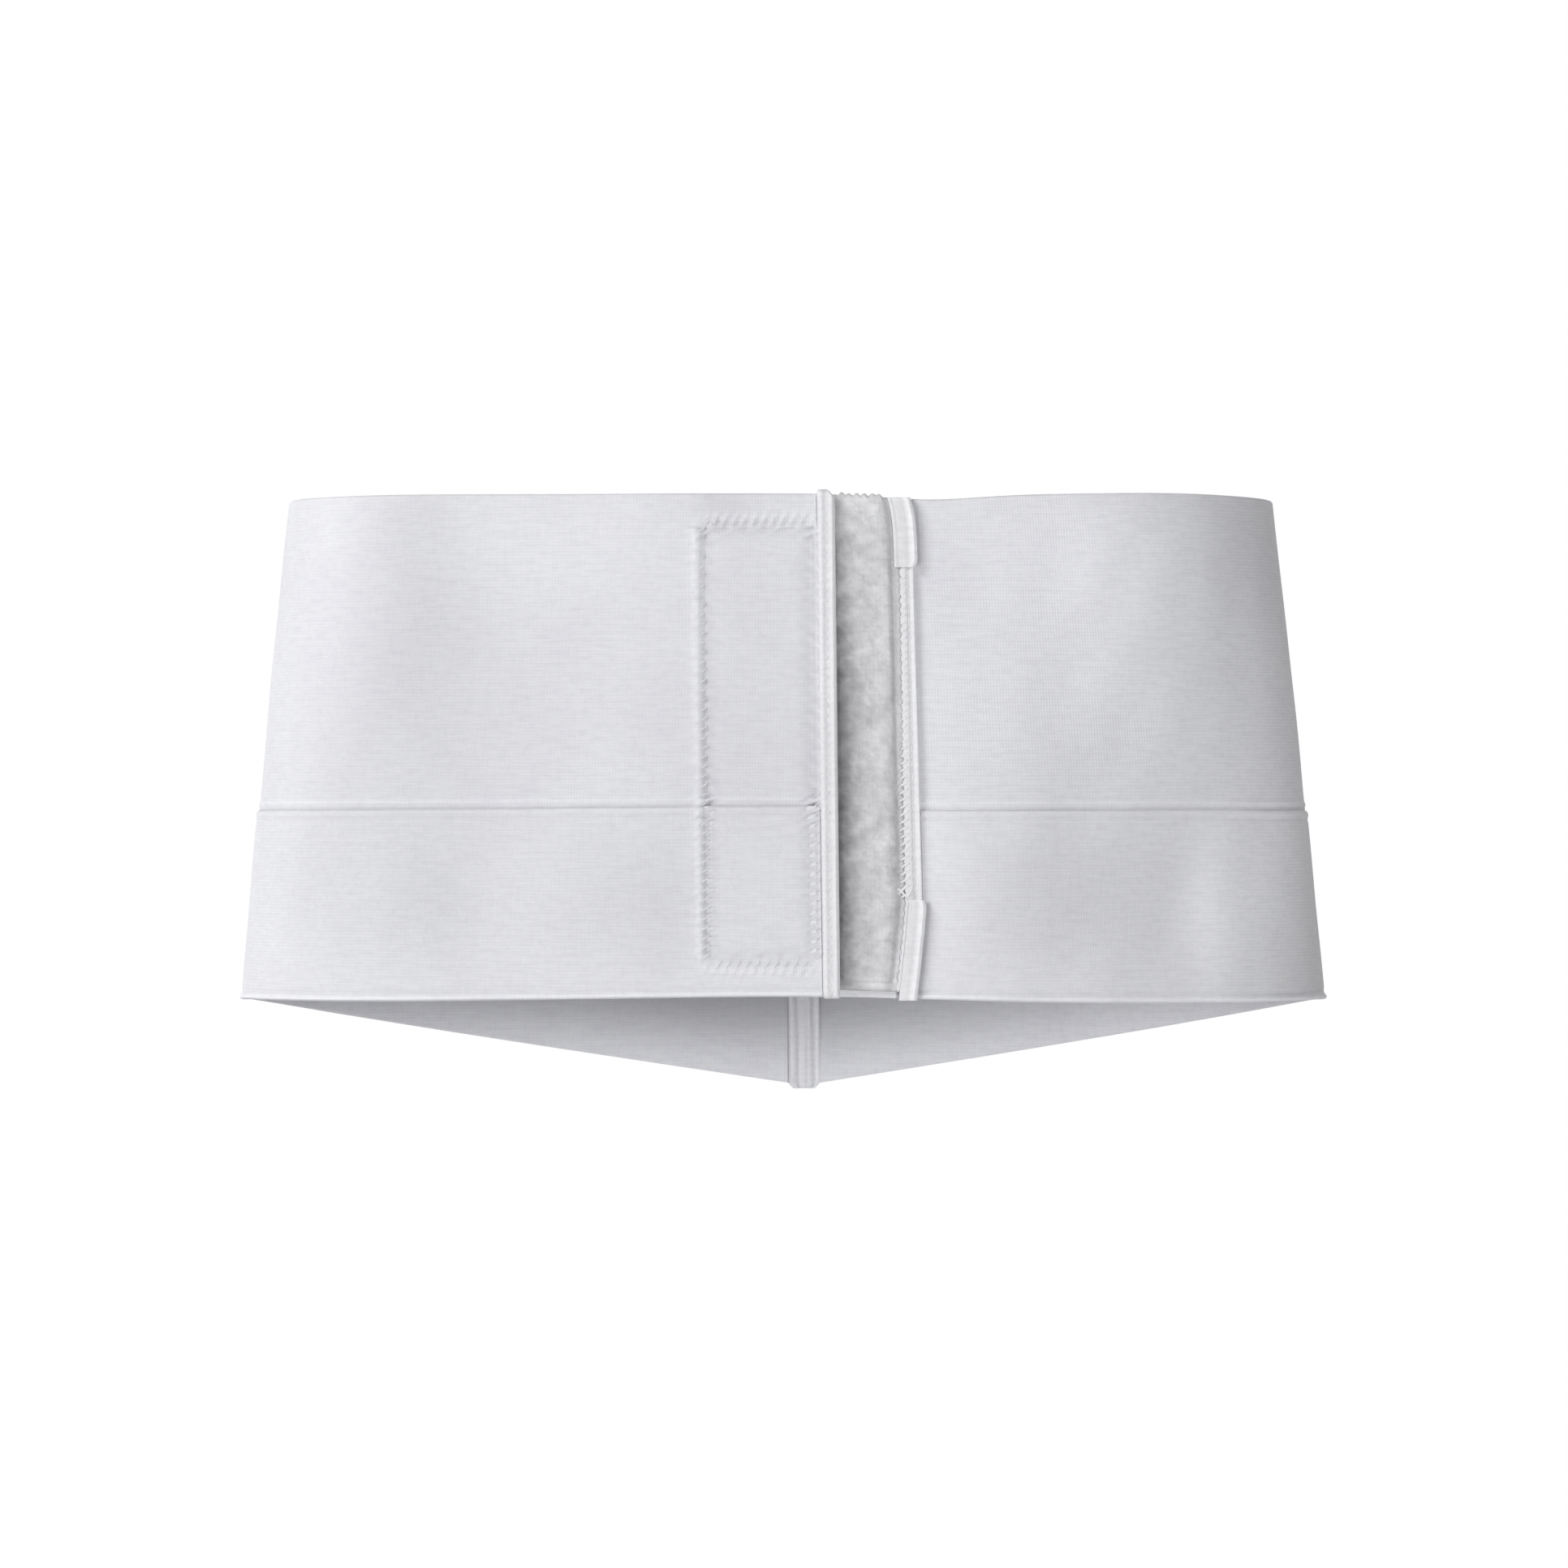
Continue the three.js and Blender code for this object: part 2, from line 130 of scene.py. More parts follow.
top = trunk["sideHeight"] / 2
bottom = -top
halfBottom = trunk["bottomWidth"] / 2
gap = walls["gap"]
loopIn = walls["panel"] + gap
loopOut = loopIn + walls["loop"]
selvageOut = loopIn + walls["selvage"]
edgeTapeIn = selvageOut + gap
edgeTapeOut = edgeTapeIn + walls["edgeTape"]
tabIn = edgeTapeOut + gap
tabOut = tabIn + walls["tab"]
hookIn = loopOut + gap
hookOut = hookIn + walls["hook"]
lapIn = hookOut + gap
bandIn = walls["backed"] + gap
bandOut = bandIn + walls["band"]


def mix(low, high, share):
    return low + (high - low) * share  # low at 0, and high at 1


def clamp(value):
    return np.clip(value, 0, 1)  # held between 0 and 1


def smooth(share):
    return clamp(share) ** 2 * (3 - 2 * clamp(share))  # rises from 0 to 1, level at both ends


def bell(distance, spread):
    return np.exp(-((distance / spread) ** 2))  # 1 in the middle, and 0.37 at the spread


def rounded(distance, radius):
    # A quarter circle: 0 at the edge, and 1 from the radius on.
    return np.sqrt(1 - (1 - clamp(distance / radius)) ** 2)


def ladder(first, *stretches):
    # Places from the first on. Each stretch gives the next place and the number of steps up to it.
    places = [np.array([float(first)])]
    for place, count in stretches:
        places.append(np.linspace(places[-1][-1], place, count + 1)[1:])
    return np.concatenate(places)


def heightShare(z):
    return (z - bottom) / trunk["sideHeight"]  # 0 at the bottom, and 1 at the top


def halfWidth(z):
    # Half of the straight taper between the two widths, and a parabola for the bow.
    share = heightShare(z)
    swell = trunk["sideBow"] * 4 * share * (1 - share)
    return mix(trunk["bottomWidth"], trunk["topWidth"], share) / 2 + swell


def halfDepth(z):
    return mix(trunk["bottomDepth"], trunk["topDepth"], heightShare(z)) / 2  # half of a straight taper


def leanAt(z):
    return trunk["topLean"] * heightShare(z)  # the section's middle moves across evenly, all the way up


def angleAt(x, z, back=False):
    # The angle round the trunk of a place across it: 0 is the front, and it grows towards +X.
    power = trunk["backSquareness"] if back else trunk["frontSquareness"]
    across = (x - leanAt(z)) / halfWidth(z)
    depth = halfDepth(z) * (1 - np.abs(across) ** power) ** (1 / power)
    return np.arctan2(x - leanAt(z), -depth if back else depth)


def sectionPoint(angle, z):
    # The section at one level: |x / a| ** n + |y / b| ** n = 1.
    sine, cosine = np.sin(angle), np.cos(angle)
    power = np.where(cosine < 0, trunk["backSquareness"], trunk["frontSquareness"])
    a, b = halfWidth(z), halfDepth(z)
    radius = (np.abs(sine / a) ** power + np.abs(cosine / b) ** power) ** (-1 / power)
    return radius * sine, -radius * cosine, a, b, power


def frontness(y, b):
    return smooth(-y / (trunk["frontFade"] * b))  # 1 over most of the front, and 0 from the sides back


# Shallow folds that the wearing leaves: place across, level, half width, half height and depth in
# millimetres, and how much lighter or darker the cloth is painted there, in percent, as painted light and
# shade.
folds = (
    (-107, 32, 22, 50, -1.5, -12),
    (-83, 66, 18, 26, 0.8, 4),
    (-44, 68, 26, 18, 0.9, 5),
    (-19, 78, 8, 9, -0.6, -8),
    (-138, -32, 24, 62, -0.5, -10),
    (-106, -46, 15, 28, -0.9, -9),
    (-56, -42, 15, 28, -0.7, -6),
    (-36, -44, 13, 30, -0.9, -8),
    (-8, -15, 26, 75, 0.0, -5),
    (58, 20, 26, 50, 0.9, 4),
    (50, -45, 14, 32, 0.5, 6),
    (86, -46, 18, 26, -1.5, -11),
    (106, -50, 14, 28, -0.6, -9),
    (88, -10, 20, 20, -0.3, -6),
    (100, 62, 26, 34, 0.4, 14),
    (134, -54, 9, 22, 0.7, 11),
    (151, -36, 12, 44, 0.4, 19),
    (150, 18, 13, 34, 0.0, 9),
    (-112, 68, 18, 20, 0.0, -4),
    (-38, 68, 10, 15, 0.0, -4),
    (66, 66, 22, 18, 0.0, 4),
    (-152, -46, 16, 32, 0.0, -4),
)


foldTable = np.array(folds)
foldDepths = foldTable[:, :5] * mm
# The folds' painted light and shade, as bells of lightness.
paintedFoldLights = np.column_stack([foldTable[:, :4] * mm, foldTable[:, 5] / 100])
dentDepths = dents * (halfBottom, 1, halfBottom, 1, 1)


def bellSum(x, z, bells):
    # The sum of round bells. Each has its place across and up, its spread across and up, and its height.
    total = np.zeros(np.broadcast(x, z).shape)
    for at, level, across, tall, high in bells:
        total = total + high * bell(x - at, across) * bell(z - level, tall)
    return total


def paintedFoldShade(x, y, z):
    # Painted light and shade of the folds: 1 and the sum of their bells, over the front.
    return 1 + bellSum(x, z, paintedFoldLights) * frontness(y, halfDepth(z))


# Slow ripples of the worn cloth. Every layer follows them, so that none meets its neighbour.
ripples = {
    "depth": 0.16 * mm,
    "shortest": 22 * mm,
    "longest": 70 * mm,
    "count": 14,
    "seed": 11,
    "turn": 0.9,  # how far a wave may turn either way, in radians
    "backwards": 0.8,  # how much a step back counts as a step across
}


def rippleAt(x, y, z):
    # A sum of sine waves, each with its own length and direction over the cloth.
    rng = np.random.default_rng(ripples["seed"])
    total = 0
    for _ in range(ripples["count"]):
        length = rng.uniform(ripples["shortest"], ripples["longest"])
        turn = rng.uniform(-ripples["turn"], ripples["turn"])
        phase = rng.uniform(0, wholeTurn)
        along = (x + ripples["backwards"] * y) * math.cos(turn) + z * math.sin(turn)
        total = total + np.sin(wholeTurn * along / length + phase)
    return total * ripples["depth"] / math.sqrt(ripples["count"])


def wornRelief(x, y, b, z):
    # How far the dents and folds of the front and the ripples all round move the cloth outwards.
    dented = bellSum(x, heightShare(z), dentDepths) * walls["panel"]
    return (dented + bellSum(x, z, foldDepths)) * frontness(y, b) + rippleAt(x, y, z)


def outwards(x, y, a, b, power):
    # The section's outward direction: the slope of its equation, made one long.
    across = np.sign(x) * np.abs(x / a) ** (power - 1) / a
    along = np.sign(y) * np.abs(y / b) ** (power - 1) / b
    length = np.hypot(across, along)
    return across / length, along / length


def onForm(angle, z, out):
    # The point of the trunk's form at an angle and a level, moved outwards by a distance.
    angle, z, out = np.broadcast_arrays(angle, z, out)
    x, y, a, b, power = sectionPoint(angle, z)
    acrossX, acrossY = outwards(x, y, a, b, power)
    move = out + wornRelief(x, y, b, z)
    return np.stack([x + leanAt(z) + acrossX * move, y + acrossY * move, z], axis=-1)


def formNormal(angle, z):
    # The outward direction there, held level.
    x, y, a, b, power = sectionPoint(angle, z)
    acrossX, acrossY = outwards(x, y, a, b, power)
    return np.stack(np.broadcast_arrays(acrossX, acrossY, 0 * acrossX), axis=-1)


def waveAt(waves, x, y, b):
    # The sum of an edge's bells, over the front.
    total = sum(rise * bell(x - at * halfBottom, spread * halfBottom) for at, spread, rise in waves)
    return total * trunk["sideHeight"] * frontness(y, b)


def bottomEdge(angle):
    # It rises a little in front, and falls behind in a V to the back seam: a power of the share of the way.
    x, y, _, b, _ = sectionPoint(angle, bottom)
    right, left = halfBottom + backSeam, halfBottom - backSeam
    toSeam = np.where(x < backSeam, (halfBottom + x) / right, (halfBottom - x) / left)
    behind = -outline["backDrop"] * clamp(toSeam) ** outline["backDropBend"]
    before = outline["frontRise"] * frontness(y, b) + waveAt(bottomWaves, x, y, b)
    return bottom + np.where(y > 0, behind, before)


def topEdge(angle):
    x, y, _, b, _ = sectionPoint(angle, top)
    return top + waveAt(topWaves, x, y, b)  # level, with the top edge's waves


def levelAt(angle, share):
    return mix(bottomEdge(angle), topEdge(angle), share)  # a share of the way from edge to edge


def frontLevels(place, shares, footMargin, headMargin):
    # Levels in front between the bottom edge and the top edge, less a margin at each.
    angle = angleAt(place, 0.0)
    return mix(bottomEdge(angle) + footMargin, topEdge(angle) - headMargin, shares)


def slanted(x, z):
    return x - closure["slant"] * z / trunk["sideHeight"]  # across, moved as the lapping edge slants


def closureLine(x):
    return lambda z: slanted(x, z)  # the lapping edge's own line, or one beside it


upperTabFoot = top - closure["upperTabLength"]
lowerTabHead = bottom + closure["lowerTabLength"]


def underlapLine(z):
    # The underlap's sewn edge: a slanting line that turns in at its two corners.
    high = clamp((z - upperTabFoot) / closure["upperTabLength"]) ** closure["upperCornerBend"]
    low = clamp((lowerTabHead - z) / closure["lowerTabLength"]) ** closure["lowerCornerBend"]
    turn = closure["upperCornerLean"] * high + closure["lowerCornerLean"] * low
    return closure["underlapEdge"] - closure["underlapSlant"] * z / trunk["sideHeight"] - turn


def lapLift(angle, z):
    # How far the lapping panel stands off the trunk: it climbs onto the underlap.
    x, y = onFormPlace(angle, z)
    start = closure["lapEdge"] - closure["bindingWidth"] - closure["hookWidth"] - closure["rampWidth"] - gap
    return np.where(y < 0, lapIn * smooth((x - start) / closure["rampWidth"]), 0)


def onFormPlace(angle, z):
    # The places across and from front to back of the form itself, under every layer.
    point = onForm(angle, z, 0)
    return point[..., 0], point[..., 1]


def noLift(angle, z):
    return 0 * angle * z  # flat on the trunk


def outerWall(angle, z):
    # The height of the cloth's outside: the panel's, and the band's below the band's top edge.
    onBand = smooth((levelAt(angle, outline["seamShare"]) - z) / (0.6 * mm))
    return mix(walls["panel"], bandOut, onBand)


# Meshes: nets of points, closed into shells or carried sections.
def makeObject(name, points, faces, corners, material, tones=None):
    # The tones are painted light and shade at each point, with some random mottle, and 1 is plain.
    mesh = bpy.data.meshes.new(name)
    mesh.from_pydata(points.tolist(), [], faces)
    tones = np.ones(len(points)) if tones is None else tones
    toneLayer = mesh.attributes.new(name="tone", type="FLOAT", domain="POINT")
    toneLayer.data.foreach_set("value", np.asarray(tones, dtype=np.float32).ravel())
    uvLayer = mesh.uv_layers.new(name="cloth")
    uvLayer.data.foreach_set("uv", np.asarray(corners, dtype=np.float32).ravel())
    mesh.polygons.foreach_set("use_smooth", np.ones(len(mesh.polygons), dtype=bool))
    mesh.materials.append(material)
    mesh.update()
    made = bpy.data.objects.new(name, mesh)
    bpy.context.scene.collection.objects.link(made)
    return made


def netFaces(rows, columns, first=0):
    # Quads of a net whose rows run up and whose columns run towards +X along the front.
    place = first + np.arange(rows * columns).reshape(rows, columns)
    return np.stack([place[:-1, :-1], place[:-1, 1:], place[1:, 1:], place[1:, :-1]], axis=-1).reshape(-1, 4)


def shell(name, outer, inner, across, up, material, tone=1.0, innerTone=1.0):
    # A closed shell: the outer net, the inner net turned over, and a rim between their four edges.
    rows, columns = outer.shape[:2]
    points = np.concatenate([outer.reshape(-1, 3), inner.reshape(-1, 3)])
    place = np.arange(rows * columns)
    rim = place.reshape(rows, columns)
    rim = np.concatenate([rim[0, :-1], rim[:-1, -1], rim[-1, :0:-1], rim[:0:-1, 0]])
    beyond = np.roll(rim, -1)
    inside = rows * columns
    faces = np.concatenate([
        netFaces(rows, columns),
        netFaces(rows, columns, inside)[:, ::-1],
        np.stack([rim, rim + inside, beyond + inside, beyond], axis=-1),
    ])
    flat = np.stack(np.broadcast_arrays(across, up), axis=-1).reshape(-1, 2)
    flat = np.concatenate([flat, flat])
    tones = np.stack([np.broadcast_to(tone, (rows, columns)), np.broadcast_to(innerTone, (rows, columns))])
    return makeObject(name, points, faces.tolist(), flat[faces.ravel()], material, tones)


def carried(name, rings, across, up, material, tone=1.0):
    # A closed section carried along a path: rings is (stations, section points, 3), and the section runs
    # anticlockwise as the path comes towards the eye. Both ends are closed by one face.
    stations, around = rings.shape[:2]
    place = np.arange(stations * around).reshape(stations, around)
    beside = np.roll(place, -1, axis=1)
    quads = np.stack([place[:-1], beside[:-1], beside[1:], place[1:]], axis=-1).reshape(-1, 4)
    wide = np.concatenate([across, across[:, :1] + 2 * (across[:, -1:] - across[:, -2:-1])], axis=1)
    tall = np.concatenate([up, up[:, :1]], axis=1)
    flat = np.stack([wide, tall], axis=-1)
    corners = np.stack([flat[:-1, :-1], flat[:-1, 1:], flat[1:, 1:], flat[1:, :-1]], axis=2).reshape(-1, 2)
    ends = [place[0, ::-1].tolist(), place[-1].tolist()]
    endCorners = np.concatenate([flat[0, :-1][::-1], flat[-1, :-1]])
    return makeObject(
        name,
        rings.reshape(-1, 3),
        quads.tolist() + ends,
        np.concatenate([corners, endCorners]),
        material,
        np.broadcast_to(tone, (stations, around)),
    )


def arcLengths(points):
    # The distance along each row of a net.
    steps = np.linalg.norm(np.diff(points, axis=-2), axis=-1)
    return np.concatenate([np.zeros(steps.shape[:-1] + (1,)), np.cumsum(steps, axis=-1)], axis=-1)


def declare(piece, node=None):
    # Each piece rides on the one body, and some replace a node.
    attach(piece, "root")
    if node:
        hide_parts(node)


threads = {
    "sides": 6,
    "rings": 6,
    "sunk": 0.35,  # how deep both ends lie in the cloth, as a share of the rise
    "endShare": 0.45,  # how thick both ends are
}


def stitches(name, rows, radius, rise):
    # Each stitch is a short thread that leaves the cloth, rises over it and goes back in: its middle is
    # start + (end - start) t + normal rise (sin(pi t) - sunk), and it thins towards both ends.
    starts, ends, normals = (np.concatenate(parts)[:, None, :] for parts in zip(*rows))
    sides, rings = threads["sides"], threads["rings"]
    t = np.linspace(0.0, 1.0, rings)[None, :, None]
    span = ends - starts
    arch = np.sin(math.pi * t)
    middle = starts + span * t + normals * rise * (arch - threads["sunk"])
    direction = span + normals * rise * math.pi * np.cos(math.pi * t)
    direction = direction / np.linalg.norm(direction, axis=-1, keepdims=True)
    side = np.cross(direction, np.broadcast_to(normals, direction.shape))
    side = side / np.linalg.norm(side, axis=-1, keepdims=True)
    upward = np.cross(side, direction)[:, :, None, :]
    side = side[:, :, None, :]
    turn = np.linspace(0, wholeTurn, sides, endpoint=False)[None, None, :, None]
    thick = radius * mix(threads["endShare"], 1, arch)[:, :, None, :]
    ring = middle[:, :, None, :] + thick * (side * np.cos(turn) + upward * np.sin(turn))
    count = len(starts)
    place = np.arange(count * rings * sides).reshape(count, rings, sides)
    beside = np.roll(place, -1, axis=2)
    quads = np.stack([place[:, :-1], place[:, 1:], beside[:, 1:], beside[:, :-1]], axis=-1).reshape(-1, 4)
    caps = place[:, 0].tolist() + place[:, -1, ::-1].tolist()
    corners = np.zeros((len(quads) * 4 + count * sides * 2, 2))
    faces = quads.tolist() + caps
    made = makeObject(name, ring.reshape(-1, 3), faces, corners, cloths["sewing_thread"])
    declare(made)


# Materials. Each reads the piece's own UV map, whose unit is the metre, or object coordinates.
def newMaterial(name, shine):
    material = bpy.data.materials.new(name)
    material.use_nodes = True
    tree = material.node_tree
    shader = tree.nodes["Principled BSDF"]
    shader.inputs["Roughness"].default_value = shine["roughness"]
    shader.inputs["Specular IOR Level"].default_value = shine["gloss"]
    shader.inputs["Sheen Weight"].default_value = shine["sheen"]
    shader.inputs["Sheen Roughness"].default_value = shine["sheenRoughness"]
    return material, tree, shader


def addNode(tree, kind, **settings):
    # A new node of a kind, with its settings.
    made = tree.nodes.new(kind)
    for key, value in settings.items():
        setattr(made, key, value)
    return made


def uvPlace(tree, scale):
    # The piece's UV map, with each direction scaled on its own.
    place = addNode(tree, "ShaderNodeUVMap", uv_map="cloth")
    scaled = addNode(tree, "ShaderNodeMapping")
    scaled.inputs["Scale"].default_value = (scale[0], scale[1], 1)
    tree.links.new(place.outputs["UV"], scaled.inputs["Vector"])
    return scaled.outputs["Vector"]


def objectPlace(tree):
    return addNode(tree, "ShaderNodeTexCoord").outputs["Object"]  # metres, in the part's own frame


def addNoise(tree, vector, scale, detail=2.0, roughness=0.55):
    # Soft random patches, from 0 to 1.
    noise = addNode(tree, "ShaderNodeTexNoise")
    noise.inputs["Scale"].default_value = scale
    noise.inputs["Detail"].default_value = detail
    noise.inputs["Roughness"].default_value = roughness
    tree.links.new(vector, noise.inputs["Vector"])
    return noise.outputs["Fac"]


def addRibs(tree, vector, scale, direction, distortion):
    # Ribs across one direction of the UV map.
    ribs = addNode(tree, "ShaderNodeTexWave", wave_type="BANDS", bands_direction=direction)
    ribs.inputs["Scale"].default_value = scale
    ribs.inputs["Distortion"].default_value = distortion
    ribs.inputs["Detail"].default_value = 1.0
    ribs.inputs["Detail Scale"].default_value = 2.0
    tree.links.new(vector, ribs.inputs["Vector"])
    return ribs.outputs["Fac"]


def addBump(tree, height, depth, strength, below=None):
    # Relief of a depth in metres, over the relief below it.
    bump = addNode(tree, "ShaderNodeBump")
    bump.inputs["Strength"].default_value = strength
    bump.inputs["Distance"].default_value = depth
    tree.links.new(height, bump.inputs["Height"])
    if below is not None:
        tree.links.new(below, bump.inputs["Normal"])
    return bump.outputs["Normal"]


def addColours(tree, factor, low, high, lowAt, highAt):
    # A colour that goes from low to high as the factor goes from lowAt to highAt.
    ramp = addNode(tree, "ShaderNodeValToRGB")
    ramp.color_ramp.elements[0].position = lowAt
    ramp.color_ramp.elements[0].color = (*low, 1)
    ramp.color_ramp.elements[1].position = highAt
    ramp.color_ramp.elements[1].color = (*high, 1)
    tree.links.new(factor, ramp.inputs["Fac"])
    return ramp.outputs["Color"]


def multiplied(tree, first, second):
    # The product of two colours.
    blend = addNode(tree, "ShaderNodeMix", data_type="RGBA", blend_type="MULTIPLY")
    blend.inputs["Factor"].default_value = 1.0
    tree.links.new(first, blend.inputs["A"])
    tree.links.new(second, blend.inputs["B"])
    return blend.outputs["Result"]


def wovenMaterial(name, look):
    # Two sets of ribs cross, and fine fuzz lies over them. The colour drifts slowly, in specks and in
    # streaks, has painted shade between the ribs, and is multiplied by the mesh's own tone, which holds
    # painted light and shade.
    material, tree, shader = newMaterial(name, look)
    ribTurns = math.pi / 10  # at this scale a wave texture has one rib in each unit
    place = uvPlace(tree, (1 / look["ribPitch"], 1 / look["rowPitch"]))
    ribs = addRibs(tree, place, ribTurns, "X", look["wander"])
    rows = addRibs(tree, place, ribTurns, "Y", look["wander"])
    woven = addNode(tree, "ShaderNodeMath", operation="MULTIPLY_ADD")
    woven.inputs[1].default_value = look["rowShare"]
    tree.links.new(rows, woven.inputs[0])
    tree.links.new(ribs, woven.inputs[2])
    fuzz = addNoise(tree, objectPlace(tree), look["fuzzScale"], 4.0, 0.65)
    normal = addBump(tree, woven.outputs[0], look["weaveDepth"], look["weaveStrength"])
    normal = addBump(tree, fuzz, look["fuzzDepth"], look["fuzzStrength"], normal)
    tree.links.new(normal, shader.inputs["Normal"])
    drift = addNoise(tree, objectPlace(tree), look["driftScale"])
    colour = addColours(tree, drift, look["shadeColour"], look["colour"], 0.35, 0.62)
    streakPlace = uvPlace(tree, (1 / look["streakSize"][0], 1 / look["streakSize"][1]))
    patterns = (
        (addNoise(tree, place, look["speckScale"], 2.0, 0.6), look["speckColour"], 0.3, 0.55),
        (woven.outputs[0], look["valleyShadeColour"], 0.15, 0.9),
        (addNoise(tree, streakPlace, 1.0), look["streakColour"], 0.34, 0.6),
    )
    for pattern, darkest, darkAt, plainAt in patterns:
        colour = multiplied(tree, colour, addColours(tree, pattern, darkest, (1, 1, 1), darkAt, plainAt))
    tone = addNode(tree, "ShaderNodeAttribute", attribute_name="tone")
    tree.links.new(multiplied(tree, colour, tone.outputs["Color"]), shader.inputs["Base Color"])
    return material


elasticLook = {
    "colour": (0.785, 0.788, 0.815),
    "shadeColour": (0.75, 0.75, 0.785),
    "speckColour": (0.955, 0.955, 0.965),
    "valleyShadeColour": (0.93, 0.93, 0.935),
    "roughness": 0.85,
    "gloss": 0.25,
    "sheen": 0.15,
    "sheenRoughness": 0.45,
    "ribPitch": 0.95 * mm,
    "rowPitch": 1.0 * mm,
    "rowShare": 0.75,
    "wander": 0.6,
    "weaveDepth": 0.1 * mm,
    "weaveStrength": 0.42,
    "fuzzScale": 1900.0,
    "fuzzDepth": 0.1 * mm,
    "fuzzStrength": 0.35,
    "driftScale": 22.0,
    "speckScale": 0.35,
    "streakSize": (9 * mm, 1.2 * mm),
    "streakColour": (0.95, 0.95, 0.955),
}
bandLook = {
    **elasticLook,
    "colour": (0.79, 0.793, 0.82),
    "shadeColour": (0.76, 0.76, 0.79),
    "ribPitch": 0.85 * mm,
}
tapeLook = {
    **elasticLook,
    "colour": (0.85, 0.85, 0.868),
    "shadeColour": (0.82, 0.82, 0.838),
    "valleyShadeColour": (0.96, 0.96, 0.965),
    "gloss": 0.35,
    "roughness": 0.7,
    "ribPitch": 0.55 * mm,
    "rowPitch": 0.5 * mm,
    "rowShare": 1.0,
    "weaveDepth": 0.06 * mm,
}
pileLook = {
    **elasticLook,
    "colour": (0.73, 0.73, 0.745),
    "shadeColour": (0.65, 0.65, 0.665),
    "speckColour": (0.92, 0.92, 0.93),
    "valleyShadeColour": (0.97, 0.97, 0.97),
    "roughness": 0.95,
    "gloss": 0.1,
    "sheen": 0.35,
    "ribPitch": 1.3 * mm,
    "rowPitch": 1.1 * mm,
    "wander": 6.0,
    "weaveDepth": 0.15 * mm,
    "fuzzScale": 2600.0,
    "fuzzDepth": 0.2 * mm,
    "fuzzStrength": 0.5,
    "driftScale": 240.0,
    "speckScale": 0.9,
}
hookLook = {
    **elasticLook,
    "ribPitch": 1.4 * mm,
    "rowPitch": 1.4 * mm,
    "rowShare": 1.0,
    "wander": 0.0,
    "weaveDepth": 0.4 * mm,
    "weaveStrength": 0.8,
    "gloss": 0.5,
    "roughness": 0.5,
}
threadLook = {
    **tapeLook,
    "colour": (0.87, 0.87, 0.88),
    "shadeColour": (0.84, 0.84, 0.85),
    "valleyShadeColour": (1, 1, 1),
    "gloss": 0.4,
    "roughness": 0.6,
    "weaveStrength": 0.0,
}

looks = {
    "elastic_cloth": elasticLook,
    "band_cloth": bandLook,
    "tape_cloth": tapeLook,
    "pile_cloth": pileLook,
    "hook_cloth": hookLook,
    "sewing_thread": threadLook,
}
cloths = {name: wovenMaterial(name, look) for name, look in looks.items()}
print("binder: materials made")


# The stitched rectangle that holds the hook patch, on the lap: its four sides slant with the closure.
stitchBox = {
    "left": -24.9 * mm,
    "right": 10.4 * mm,
    "high": 71.6 * mm,
    "low": -67.2 * mm,
    "corner": 3.0 * mm,
    "ridgeAt": 1.5 * mm,  # outside the line
    "ridge": 0.8 * mm,
    "ridgeWidth": 1.5 * mm,
    "grooveAt": -1.0 * mm,  # inside the line
    "groove": 0.75 * mm,
    "grooveWidth": 0.9 * mm,  # towards the line, and the next is towards the middle
    "inwardWidth": 3.2 * mm,
    "pitch": 3.0 * mm,
    "pucker": 0.6,
    "slope": 0.45,  # how far the puckers slant
    "rowHeight": 2.2 * mm,  # of the top and bottom rows
    "columnShare": 1.25,  # how strong the relief is in the columns
    "rowShare": 0.5,  # and in those rows
    "tone": 0.11,  # painted light and shade: how much lighter each millimetre of ridge is painted, and each of groove darker
}


def bindingTaper(z):
    return 0.1 * closure["bindingWidth"] * smooth(0.5 - heightShare(z))  # it is a little slimmer low down


def boxDistance(x, z):
    # The signed distance to the rounded rectangle, in the frame of the slanting closure.
    x = x + closure["slant"] * z / trunk["sideHeight"]
    middleX = (stitchBox["left"] + stitchBox["right"]) / 2
    middleZ = (stitchBox["low"] + stitchBox["high"]) / 2
    halfX = (stitchBox["right"] - stitchBox["left"]) / 2
    halfZ = (stitchBox["high"] - stitchBox["low"]) / 2
    beyondX = np.abs(x - middleX) - halfX + stitchBox["corner"]
    beyondZ = np.abs(z - middleZ) - halfZ + stitchBox["corner"]
    away = np.hypot(np.maximum(beyondX, 0), np.maximum(beyondZ, 0))
    return away + np.minimum(np.maximum(beyondX, beyondZ), 0) - stitchBox["corner"]


def boxRelief(x, z, y):
    # A soft ridge outside the line and a groove inside it, both puckered by the stitches.
    distance = boxDistance(x, z)
    rowHeight = stitchBox["rowHeight"]
    upright = (z > stitchBox["low"] + rowHeight) & (z < stitchBox["high"] - rowHeight)
    along = np.where(upright, z - stitchBox["slope"] * x, x - stitchBox["slope"] * z)
    wave = stitchBox["pucker"] * np.sin(wholeTurn * along / stitchBox["pitch"])
    ridge = stitchBox["ridge"] * bell(distance - stitchBox["ridgeAt"], stitchBox["ridgeWidth"])
    inwards = distance < stitchBox["grooveAt"]
    grooveWidth = np.where(inwards, stitchBox["inwardWidth"], stitchBox["grooveWidth"])
    groove = stitchBox["groove"] * bell(distance - stitchBox["grooveAt"], grooveWidth)
    puckered = ridge * (1 + wave) - groove * (1 - wave)
    puckered = puckered * np.where(upright, stitchBox["columnShare"], stitchBox["rowShare"])
    return np.where(y < 0, puckered, 0)


